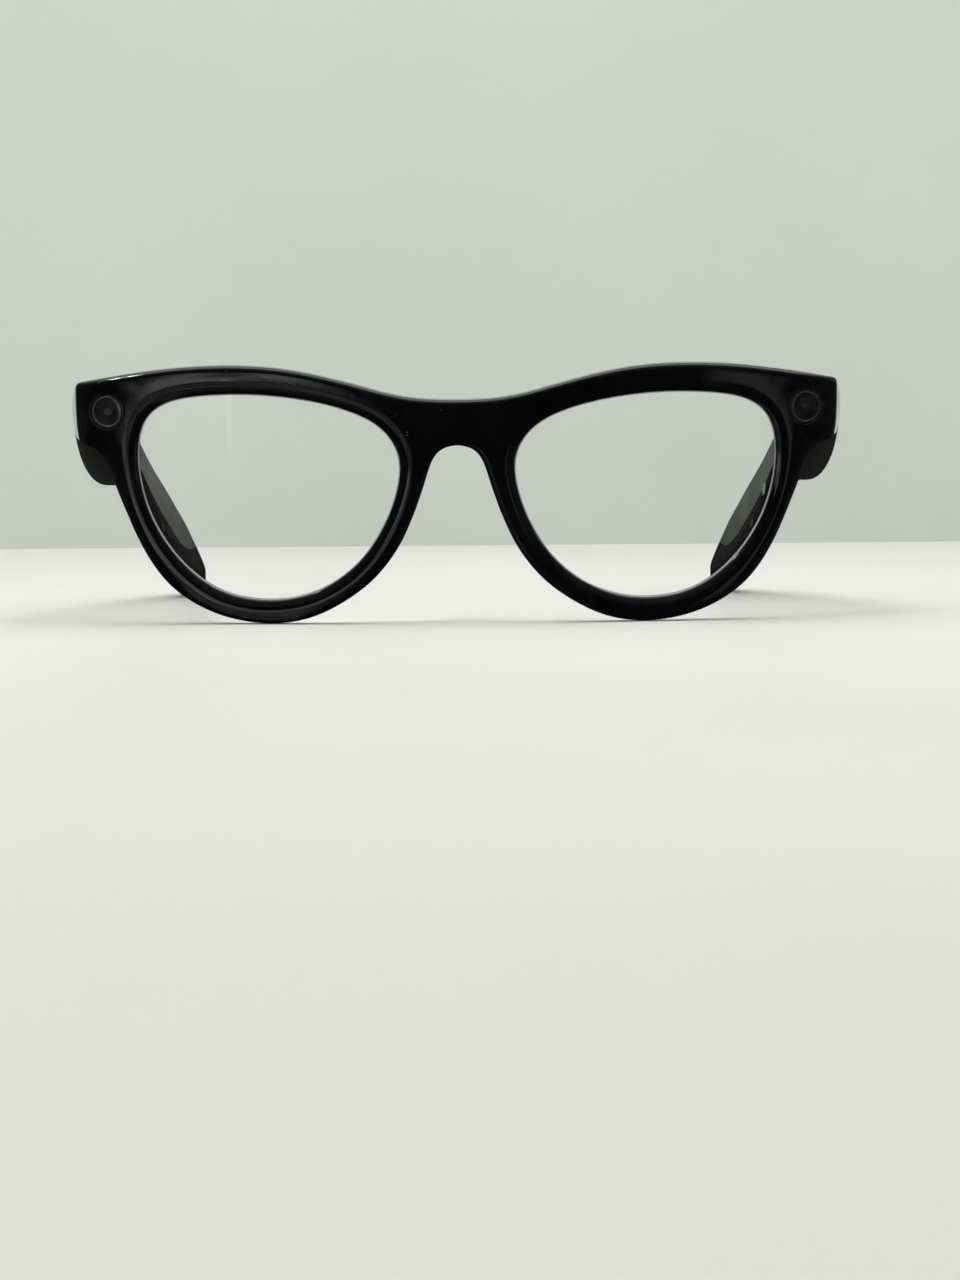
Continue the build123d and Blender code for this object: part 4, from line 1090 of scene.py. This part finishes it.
def polished(name, base, smudge, rough, spec, edge=None, dust=0.16, matte_root=False, coat=0.0, lean=0.0):
    """Hand-polished black plastic: soft smudges, hairlines, dust specks and worn edges."""
    m = Mat(name, rough, 0.0, spec)
    if coat:
        m.bsdf.inputs["Coat Weight"].default_value = coat
        m.bsdf.inputs["Coat Roughness"].default_value = 0.05
    tone = m.noise(55, 5, 0.55)
    col = m.mix(m.ramp(tone, 0.35, 0.7), base, tuple(c * 1.6 + 0.0006 for c in base))
    wipe = m.noise(140, 6, 0.62, stretch=(1, 1, 0.35), rot=(0, 0.5, 0.3), distortion=0.6)
    blot = m.noise(38, 3, 0.5, loc=(0.031, 0.007, 0.002))
    smudged = m.math("MULTIPLY", m.ramp(wipe, 0.42, 0.72), m.ramp(blot, 0.45, 0.65))
    col = m.mix(m.math("MULTIPLY", smudged, 0.45), col, smudge)
    scratch = m.math("MAXIMUM", hairlines(m, 2600, (0.2, 0.1, 0.5)), hairlines(m, 3100, (0.0, 0.7, 1.9), 0.74))
    col = m.mix(m.math("MULTIPLY", scratch, 0.16), col, (0.12, 0.12, 0.125))
    specks = m.math("MAXIMUM", dust_mask(m, 520, 0.10, dust), dust_mask(m, 1300, 0.13, dust * 0.6))
    col = m.mix(m.math("MULTIPLY", specks, 0.35), col, (0.20, 0.20, 0.19))
    r = m.math("ADD", m.math("MULTIPLY", smudged, 0.10), rough)
    r = m.math("ADD", r, m.math("MULTIPLY", scratch, 0.12))
    r = m.math("ADD", r, m.math("MULTIPLY", specks, 0.4))
    if edge:
        e = m.math("MULTIPLY", m.ramp(m.attr(edge), 0.55, 1.0), m.ramp(m.noise(420, 5, 0.6), 0.40, 0.62))
        col = m.mix(m.math("MULTIPLY", e, 0.5), col, (0.030, 0.030, 0.032))
        r = m.math("ADD", r, m.math("MULTIPLY", e, 0.10))
    if matte_root:
        y = m.axis(1)
        root = m.ramp(y, (17.75 - Y_MID) * 0.001, (17.35 - Y_MID) * 0.001)
        grain = m.noise(5200, 3, 0.5)
        col = m.mix(root, col, m.mix(m.ramp(grain, 0.3, 0.7), (0.020, 0.0212, 0.020), (0.029, 0.0305, 0.029)))
        r = m.math("ADD", m.math("MULTIPLY", r, m.math("SUBTRACT", 1.0, root)), m.math("MULTIPLY", root, 0.62))
        m.bump((m.noise(90, 2, 0.5), 0.04, 0.0002), (scratch, 0.05, 0.00002),
               (m.math("MULTIPLY", grain, root), 0.35, 0.00004))
    else:
        m.bump((m.noise(90, 2, 0.5), 0.04, 0.0002), (scratch, 0.05, 0.00002))
    if edge:
        # painted sheen: faces that turn sideways get a strong coat, so they reflect more brightly than the front faces
        geo = m.add("ShaderNodeNewGeometry")
        part = m.add("ShaderNodeSeparateXYZ")
        link(m.nt, geo.outputs["Normal"], part.inputs[0])
        m.set("Coat Weight", m.ramp(m.math("ABSOLUTE", part.outputs[0]), 0.72, 0.9))
        m.bsdf.inputs["Coat Roughness"].default_value = 0.06
        m.bsdf.inputs["Coat IOR"].default_value = 1.8
    if lean:
        # shading only: the long inner walls, seen at a grazing angle, take their reflection from below and stay dark
        geo = m.add("ShaderNodeNewGeometry")
        part = m.add("ShaderNodeSeparateXYZ")
        link(m.nt, geo.outputs["Normal"], part.inputs[0])
        inward = m.math("MULTIPLY", part.outputs[0], m.math("SIGN", m.axis(0)))
        drop = m.ramp(inward, -0.55, -0.80, 0.0, -lean)
        tip = m.add("ShaderNodeCombineXYZ")
        link(m.nt, drop, tip.inputs[2])
        link(m.nt, m.math("MULTIPLY", drop, 0.3), tip.inputs[1])
        total = m.add("ShaderNodeVectorMath", operation="ADD")
        link(m.nt, geo.outputs["Normal"], total.inputs[0])
        link(m.nt, tip.outputs[0], total.inputs[1])
        unit = m.add("ShaderNodeVectorMath", operation="NORMALIZE")
        link(m.nt, total.outputs[0], unit.inputs[0])
        for n in m.nt.nodes:
            if n.type == "BUMP" and not n.inputs["Normal"].is_linked:
                link(m.nt, unit.outputs[0], n.inputs["Normal"])
    m.set("Base Color", col)
    m.set("Roughness", m.math("MINIMUM", r, 0.9))
    return m.m


def satin(name, base, rough, grain=4200, spec=0.4, tex=0.25, worn=0.03):
    """Moulded satin plastic with a fine spark-eroded grain."""
    m = Mat(name, rough, 0.0, spec)
    g = m.noise(grain, 4, 0.6)
    big = m.noise(70, 4, 0.55)
    col = m.mix(m.ramp(big, 0.3, 0.75), base, tuple(c * 1.25 for c in base))
    sc = hairlines(m, 2300, (0.1, 0.3, 0.2), 0.73)
    col = m.mix(m.math("MULTIPLY", sc, 0.15), col, tuple(min(1, c * 3 + worn) for c in base))
    sp = dust_mask(m, 700, 0.11, 0.08)
    col = m.mix(m.math("MULTIPLY", sp, 0.3), col, (0.22, 0.22, 0.21))
    m.set("Base Color", col)
    m.set("Roughness", m.math("ADD", m.ramp(big, 0.3, 0.7, rough - 0.04, rough + 0.05), m.math("MULTIPLY", g, 0.05)))
    m.bump((g, tex, 0.00003), (sc, 0.1, 0.00002))
    return m.m


def steel(name, base, rough, stretch=(1, 1, 18), scale=1500, spec=0.5, rot=(0, 0, 0), tex=0.12):
    """Drawn or brushed metal with its grain along one direction and scattered darker patches."""
    m = Mat(name, rough, 1.0, spec)
    b = m.noise(scale, 3, 0.6, stretch=stretch, rot=rot)
    t = m.noise(160, 4, 0.5)
    col = m.mix(m.ramp(b, 0.3, 0.7), tuple(c * 0.82 for c in base), base)
    col = m.mix(m.math("MULTIPLY", m.ramp(t, 0.5, 0.75), 0.35), col, tuple(c * 0.6 for c in base))
    m.set("Base Color", col)
    m.set("Roughness", m.math("ADD", m.ramp(b, 0.3, 0.7, rough - 0.06, rough + 0.08), m.math("MULTIPLY", m.ramp(t, 0.5, 0.8), 0.1)))
    m.bump((b, tex, 0.00003))
    return m.m


def turned_metal(name, base, rough, side):
    """Satin ring with fine concentric turning lines about the circle's axis."""
    m = Mat(name, rough, 1.0, 0.5)
    o, xd, yd, nn = face_frame(CIRCLE_X * side, CIRCLE_V)
    off = m.add("ShaderNodeVectorMath", operation="SUBTRACT")
    link(m.nt, m.co, off.inputs[0])
    off.inputs[1].default_value = tuple(o * 0.001)
    length = m.add("ShaderNodeVectorMath", operation="LENGTH")
    link(m.nt, off.outputs[0], length.inputs[0])
    w = m.math("SINE", m.math("MULTIPLY", length.outputs["Value"], 95000.0))
    n = m.noise(900, 4, 0.6)
    lines = m.math("MULTIPLY", w, n)
    col = m.mix(m.ramp(n, 0.3, 0.7), tuple(c * 0.8 for c in base), base)
    m.set("Base Color", col)
    m.set("Roughness", m.ramp(n, 0.3, 0.7, rough - 0.05, rough + 0.08))
    m.bump((lines, 0.15, 0.00001))
    return m.m


def glass(name, tint, rough, smear, ior=1.5, shadow=True, spec=0.5):
    """Clear or tinted glass with faint finger smears and dust; light passes it in shadow."""
    m = Mat(name, rough, 0.0, spec)
    m.bsdf.inputs["IOR"].default_value = ior
    m.bsdf.inputs["Transmission Weight"].default_value = 1.0
    s = m.math("MULTIPLY", m.ramp(m.noise(85, 6, 0.6, stretch=(1, 1, 0.5), rot=(0.3, 0, 0.4), distortion=0.8), 0.45, 0.75),
               m.ramp(m.noise(30, 2, 0.5), 0.45, 0.7))
    d = dust_mask(m, 330, 0.07, 0.10)
    col = m.mix(m.math("MULTIPLY", s, 0.10), tint, tuple(c * 0.94 for c in tint))
    col = m.mix(m.math("MULTIPLY", d, 0.25), col, (0.5, 0.5, 0.5))
    m.set("Base Color", col)
    m.set("Roughness", m.math("ADD", m.math("MULTIPLY", s, smear), m.math("ADD", rough, m.math("MULTIPLY", d, 0.3))))
    m.bump((m.noise(26, 2, 0.5), 0.015, 0.0002))
    if shadow:
        path = m.add("ShaderNodeLightPath")
        tr = m.add("ShaderNodeBsdfTransparent")
        tr.inputs["Color"].default_value = (*[c * 0.97 for c in tint], 1)
        mx = m.add("ShaderNodeMixShader")
        link(m.nt, path.outputs["Is Shadow Ray"], mx.inputs[0])
        link(m.nt, m.bsdf.outputs[0], mx.inputs[1])
        link(m.nt, tr.outputs[0], mx.inputs[2])
        link(m.nt, mx.outputs[0], m.out.inputs["Surface"])
    return m.m


def board(name, mask, trace_col, scale):
    """Solder mask over copper tracks."""
    m = Mat(name, 0.34, 0.0, 0.5)
    w = m.add("ShaderNodeTexBrick")
    w.inputs["Scale"].default_value = scale
    w.inputs["Mortar Size"].default_value = 0.012
    w.inputs["Color1"].default_value = (1, 1, 1, 1)
    w.inputs["Color2"].default_value = (1, 1, 1, 1)
    w.inputs["Mortar"].default_value = (0, 0, 0, 1)
    link(m.nt, m.mapped((1, 1, 1), (0, math.pi / 2, 0)), w.inputs["Vector"])
    tr = m.math("SUBTRACT", 1.0, w.outputs["Fac"])
    n = m.noise(300, 4, 0.6)
    col = m.mix(m.ramp(n, 0.3, 0.7), mask, tuple(c * 1.4 for c in mask))
    col = m.mix(m.math("MULTIPLY", w.outputs["Fac"], 0.7), col, trace_col)
    m.set("Base Color", col)
    m.set("Roughness", m.ramp(n, 0.3, 0.7, 0.28, 0.42))
    m.bump((tr, 0.2, 0.00003), (n, 0.05, 0.00003))
    return m.m


def foil(name, base):
    """Crumpled aluminium pouch."""
    m = Mat(name, 0.3, 1.0, 0.5)
    v = m.voronoi(420, "F1", 1.0)
    n = m.noise(260, 5, 0.6, distortion=0.8)
    col = m.mix(m.ramp(n, 0.3, 0.7), tuple(c * 0.75 for c in base), base)
    m.set("Base Color", col)
    m.set("Roughness", m.ramp(n, 0.3, 0.7, 0.22, 0.42))
    m.bump((v.outputs["Distance"], 0.25, 0.0001), (n, 0.3, 0.0001))
    return m.m


def mesh_cloth(name, base):
    """Blackened acoustic mesh: a close grid of small round holes."""
    m = Mat(name, 0.45, 0.8, 0.5)
    v = m.voronoi(5200, "F1", 0.0)
    hole = m.ramp(v.outputs["Distance"], 0.30, 0.38)
    n = m.noise(400, 3, 0.5)
    col = m.mix(hole, (0.002, 0.002, 0.002), m.mix(m.ramp(n, 0.3, 0.7), base, tuple(c * 1.5 for c in base)))
    m.set("Base Color", col)
    m.set("Roughness", m.ramp(n, 0.3, 0.7, 0.38, 0.55))
    m.bump((hole, 0.6, 0.00005))
    return m.m


gloss_front = polished("acetate_black", (0.0022, 0.0022, 0.0026), (0.012, 0.012, 0.013), 0.055, 0.22, edge="edge", dust=0.05)
gloss_temple = polished("temple_black", (0.0035, 0.0035, 0.004), (0.014, 0.014, 0.015), 0.11, 0.22, dust=0.06, matte_root=True, lean=0.6)
gloss_pad = polished("pad_black", (0.005, 0.005, 0.0055), (0.014, 0.014, 0.014), 0.22, 0.35, dust=0.03)
gloss_button = polished("button_black", (0.008, 0.008, 0.009), (0.02, 0.02, 0.02), 0.24, 0.4, dust=0.03)
satin_cover = satin("inner_cover_satin", (0.016, 0.017, 0.017), 0.40, spec=0.17, tex=0.2)
matte_cover = satin("cover_matte", (0.018, 0.018, 0.019), 0.55)
moulded = satin("module_moulding", (0.016, 0.016, 0.017), 0.5)
# the low index stands for the lenses' anti-reflection coating
clear = glass("lens_clear", (0.985, 0.99, 0.988), 0.0, 0.012, ior=1.2)
# pale grey stands in for the light caught in the lens edge: a painted highlight, which the lamps shade
bead_glint_mat = satin("bead_pale_glint", (0.30, 0.31, 0.31), 0.24, grain=2500, spec=0.6, tex=0.08)
window_dark = glass("window_dark", (0.20, 0.20, 0.22), 0.0, 0.01, shadow=False, spec=0.15)
window_pale = glass("window_pale", (0.30, 0.30, 0.31), 0.0, 0.01, shadow=False, spec=0.15)
cup_steel = steel("lens_cup", (0.95, 0.95, 0.97), 0.22, (1, 1, 1), 5200, tex=0.02)
diffuser = satin("light_diffuser", (0.34, 0.34, 0.335), 0.45)
backing_black = satin("backing_black", (0.004, 0.004, 0.0042), 0.5, spec=0.1, tex=0.1, worn=0.0)
collar_black = polished("collar_black", (0.004, 0.004, 0.0045), (0.012, 0.012, 0.012), 0.12, 0.4, dust=0.02)
ring_led = turned_metal("ring_satin_left", (0.19, 0.19, 0.20), 0.42, -1)
ring_cam = turned_metal("ring_satin_right", (0.15, 0.15, 0.16), 0.42, 1)
hinge_steel = steel("hinge_steel", (0.40, 0.40, 0.41), 0.30)
screw_steel = steel("screw_steel", (0.34, 0.34, 0.35), 0.28, (1, 1, 1), 5200, tex=0.04)
core_steel = steel("core_steel", (0.48, 0.48, 0.48), 0.33, (12, 1, 1))
shield = steel("shield_can", (0.58, 0.58, 0.56), 0.36, (1, 6, 1), 900)
gold = steel("contact_gold", (0.86, 0.62, 0.24), 0.26, (1, 1, 1), 5200, tex=0.03)
nickel = steel("magnet_nickel", (0.60, 0.59, 0.57), 0.24, (1, 1, 1), 4800, tex=0.03)
amber = board("flex_amber", (0.42, 0.20, 0.035), (0.30, 0.12, 0.02), 900)
green = board("board_green", (0.012, 0.10, 0.05), (0.02, 0.17, 0.08), 620)
pouch = foil("battery_foil", (0.62, 0.62, 0.63))
mesh_black = mesh_cloth("grille_mesh", (0.05, 0.05, 0.05))

by_slot = {
    "frame_gloss": gloss_front, "temple_gloss": gloss_temple, "inner_cover": satin_cover, "lens_clear": clear, "ring": ring_cam,
    "window_dark": window_dark, "window_light": window_pale, "nose_pad": gloss_pad, "hinge_steel": hinge_steel,
    "screw_steel": screw_steel, "cover_matte": matte_cover, "contact_gold": gold, "magnet": nickel, "flex_amber": amber,
    "board_green": green, "module_black": moulded, "shield_can": shield, "battery_foil": pouch, "core_steel": core_steel,
    "speaker_black": moulded, "grille_mesh": mesh_black, "button_gloss": gloss_button}
slot_of = {s["node"]: s["material_slot"] for s in frame["record"]["subparts"]}


def coat(o, material):
    if len(o.data.materials):
        for i in range(len(o.data.materials)):
            o.data.materials[i] = material
    else:
        o.data.materials.append(material)


for n, o in nodes.items():
    coat(o, by_slot[slot_of[n]])
coat(front, gloss_front)
for o in lenses:
    coat(o, clear)
for o in beads:
    coat(o, bead_glint_mat)
for o in pads:
    coat(o, gloss_pad)
for who, ring, win in (("camera", ring_cam, window_dark), ("led", ring_led, window_pale)):
    coat(circle_parts[who + "_collar"], collar_black)
    coat(circle_parts[who + "_ring"], ring)
    coat(circle_parts[who + "_glass"], win)
    coat(circle_parts[who + "_backing"], backing_black)
coat(circle_parts["led_diffuser"], diffuser)
coat(circle_parts["camera_lens_mount"], moulded)
coat(circle_parts["camera_lens_ring"], ring_cam)
coat(circle_parts["camera_lens_dome"], cup_steel)


# ------------------------------------------------------------------ floor, backdrop and lights
def stage_mesh(name, vs, fs, mat):
    me = bpy.data.meshes.new(name)
    me.from_pydata(vs, [], fs)
    o = bpy.data.objects.new(name, me)
    bpy.context.scene.collection.objects.link(o)
    me.materials.append(mat)
    return o


def plaster(name, base, rough, one_sided=False):
    m = Mat(name, rough, 0.0, 0.3)
    n = m.noise(6, 4, 0.5)
    m.set("Base Color", m.mix(m.ramp(n, 0.3, 0.7), tuple(c * 0.97 for c in base), base))
    m.set("Roughness", m.ramp(n, 0.3, 0.7, rough - 0.05, rough + 0.05))
    m.bump((m.noise(180, 3, 0.5), 0.05, 0.0005))
    if one_sided:
        geo = m.add("ShaderNodeNewGeometry")
        tr = m.add("ShaderNodeBsdfTransparent")
        mx = m.add("ShaderNodeMixShader")
        link(m.nt, geo.outputs["Backfacing"], mx.inputs[0])
        link(m.nt, m.bsdf.outputs[0], mx.inputs[1])
        link(m.nt, tr.outputs[0], mx.inputs[2])
        link(m.nt, mx.outputs[0], m.out.inputs["Surface"])
    return m.m


WALL_Y = 0.468
floor = stage_mesh("floor", [(-3, -3, 0), (3, -3, 0), (3, WALL_Y, 0), (-3, WALL_Y, 0)], [(0, 1, 2, 3)], plaster("floor_pale", (0.62, 0.61, 0.59), 0.6))
floor.visible_glossy = False
back = stage_mesh("backdrop", [(-3, WALL_Y, 0), (3, WALL_Y, 0), (3, WALL_Y, 2.0), (-3, WALL_Y, 2.0)], [(0, 1, 2, 3)],
                  plaster("backdrop_pale", (0.66, 0.70, 0.64), 0.8, one_sided=True))


def area(name, loc, target, size, power, col=(1, 1, 1)):
    l = bpy.data.lights.new(name, "AREA")
    l.shape = "RECTANGLE"
    l.size, l.size_y = size
    l.energy = power
    l.color = col
    o = bpy.data.objects.new(name, l)
    o.location = loc
    o.rotation_euler = (Vector(target) - Vector(loc)).to_track_quat("-Z", "Y").to_euler()
    bpy.context.scene.collection.objects.link(o)
    return o


area("overhead", (0.0, 0.10, 1.15), (0, 0.14, 0), (1.5, 0.9), 13.5, (1.0, 1.0, 0.98))
area("wall_wash", (0.0, -0.25, 0.9), (0, 0.468, 0.15), (1.4, 0.3), 2.5, (1.0, 1.0, 0.98))
key = area("key_left", (-0.51, -0.57, 0.93), (0, 0, 0.02), (0.10, 0.10), 2.2)
key.visible_glossy = False
# a small hard lamp, seen only as a glint in gloss
spark = area("spark", (-0.68, -0.38, 0.90), (0, -0.05, 0.02), (0.06, 0.06), 3.5)
spark.visible_diffuse = False
area("fill_right", (0.95, -0.35, 0.55), (0, 0, 0.02), (0.3, 0.5), 0.9, (0.97, 0.99, 1.0))

world = bpy.data.worlds.new("studio")
bpy.context.scene.world = world
world.use_nodes = True
wt = world.node_tree
bg = wt.nodes["Background"]
tc = wt.nodes.new("ShaderNodeTexCoord")
sp = wt.nodes.new("ShaderNodeSeparateXYZ")
link(wt, tc.outputs["Generated"], sp.inputs[0])


def w_ramp(v, a, b, lo, hi):
    n = wt.nodes.new("ShaderNodeMapRange")
    n.interpolation_type = "SMOOTHSTEP"
    for k, x in (("From Min", a), ("From Max", b), ("To Min", lo), ("To Max", hi)):
        n.inputs[k].default_value = x
    link(wt, v, n.inputs["Value"])
    return n.outputs["Result"]


def w_math(op, a, b):
    n = wt.nodes.new("ShaderNodeMath")
    n.operation = op
    for i, x in enumerate((a, b)):
        if isinstance(x, (int, float)):
            n.inputs[i].default_value = x
        else:
            link(wt, x, n.inputs[i])
    return n.outputs[0]


dx, dy, dz = sp.outputs[0], sp.outputs[1], sp.outputs[2]
azim = w_math("ARCTAN2", dx, w_math("MULTIPLY", dy, -1.0))      # 0 straight towards the viewer, positive to the right
front_side = w_ramp(dy, 0.1, -0.1, 0.0, 1.0)
sky = w_ramp(dz, 0.12, 0.85, 0.006, 0.40)
rear = w_math("MULTIPLY", w_ramp(dy, 0.1, 0.8, 0.0, 0.35), w_ramp(dz, -0.02, 0.06, 0.03, 1.0))
sides = w_math("ADD", w_ramp(dx, 0.55, 0.95, 0.0, 0.16), w_ramp(dx, -0.6, -0.95, 0.0, 0.10))
# a pale wall low on the left, with a window bar in it
patch = w_math("MULTIPLY", w_ramp(azim, -0.64, -0.55, 0.0, 1.0), w_ramp(azim, -0.14, -0.32, 0.0, 1.0))
low = w_math("MULTIPLY", w_ramp(dz, -0.25, -0.32, 0.0, 0.5), w_ramp(dz, -0.80, -0.34, 0.0, 1.0))
patch = w_math("MULTIPLY", patch, w_math("MAXIMUM", w_math("MAXIMUM", low, w_ramp(dz, -0.222, -0.168, 0.0, 1.0)), 0.18))
patch = w_math("MULTIPLY", patch, w_ramp(dz, 0.06, -0.03, 0.0, 1.0))
wn = wt.nodes.new("ShaderNodeTexNoise")
wn.inputs["Scale"].default_value = 7.0
wn.inputs["Detail"].default_value = 3.0
link(wt, tc.outputs["Generated"], wn.inputs["Vector"])
patch = w_math("MULTIPLY", patch, w_ramp(wn.outputs["Fac"], 0.35, 0.6, 0.35, 1.0))
bar = w_math("MULTIPLY", w_ramp(azim, -0.444, -0.438, 0.0, 1.0), w_ramp(azim, -0.426, -0.432, 0.0, 1.0))
bar = w_math("MULTIPLY", bar, w_math("MULTIPLY", w_ramp(dz, -0.20, -0.172, 0.0, 1.0), w_ramp(dz, -0.150, -0.158, 0.0, 1.0)))
bar_right = w_math("MULTIPLY", w_ramp(azim, 0.46, 0.52, 0.0, 1.0), w_ramp(azim, 0.63, 0.58, 0.0, 1.0))
bar_right = w_math("MULTIPLY", bar_right, w_math("MULTIPLY", w_ramp(dz, -0.42, -0.25, 0.0, 0.7), w_ramp(dz, 0.04, -0.06, 0.0, 1.0)))
light = w_math("MAXIMUM", w_math("MAXIMUM", sky, rear), w_math("MAXIMUM", sides, w_math("MULTIPLY", bar_right, front_side)))
light = w_math("ADD", light, w_math("MULTIPLY", front_side, w_math("ADD", w_math("MULTIPLY", patch, 3.0), w_math("MULTIPLY", bar, 7.0))))
path = wt.nodes.new("ShaderNodeLightPath")
sel = wt.nodes.new("ShaderNodeMix")
sel.data_type = "FLOAT"
link(wt, path.outputs["Is Camera Ray"], sel.inputs[0])
link(wt, light, sel.inputs[2])
sel.inputs[3].default_value = 0.62
link(wt, sel.outputs[0], bg.inputs["Strength"])
bg.inputs["Color"].default_value = (0.95, 1.0, 0.96, 1)
bpy.context.scene.view_settings.view_transform = "Standard"

# ------------------------------------------------------------------ camera
cam_data = bpy.data.cameras.new("camera")
cam_data.sensor_fit = "AUTO"
cam_data.sensor_width = 36.0
cam_data.lens = 2604.0 / 1280.0 * 36.0
cam_data.clip_start = 0.01
cam_data.clip_end = 20
cam = bpy.data.objects.new("camera", cam_data)
bpy.context.scene.collection.objects.link(cam)
yaw, pitch, roll = math.radians(0.468), math.radians(3.70), math.radians(-0.45)
fw = Vector((math.sin(yaw) * math.cos(pitch), math.cos(yaw) * math.cos(pitch), -math.sin(pitch)))
rt = Vector((math.cos(yaw), -math.sin(yaw), 0))
up = rt.cross(fw)
r2 = rt * math.cos(roll) + up * math.sin(roll)
u2 = up * math.cos(roll) - rt * math.sin(roll)
m = Matrix.Identity(4)
for i in range(3):
    m[i][0], m[i][1], m[i][2] = r2[i], u2[i], -fw[i]
m.translation = Vector((0, -Y_MID - 499.99, LIFT + 3.49)) * 0.001
cam.matrix_world = m
bpy.context.scene.camera = cam
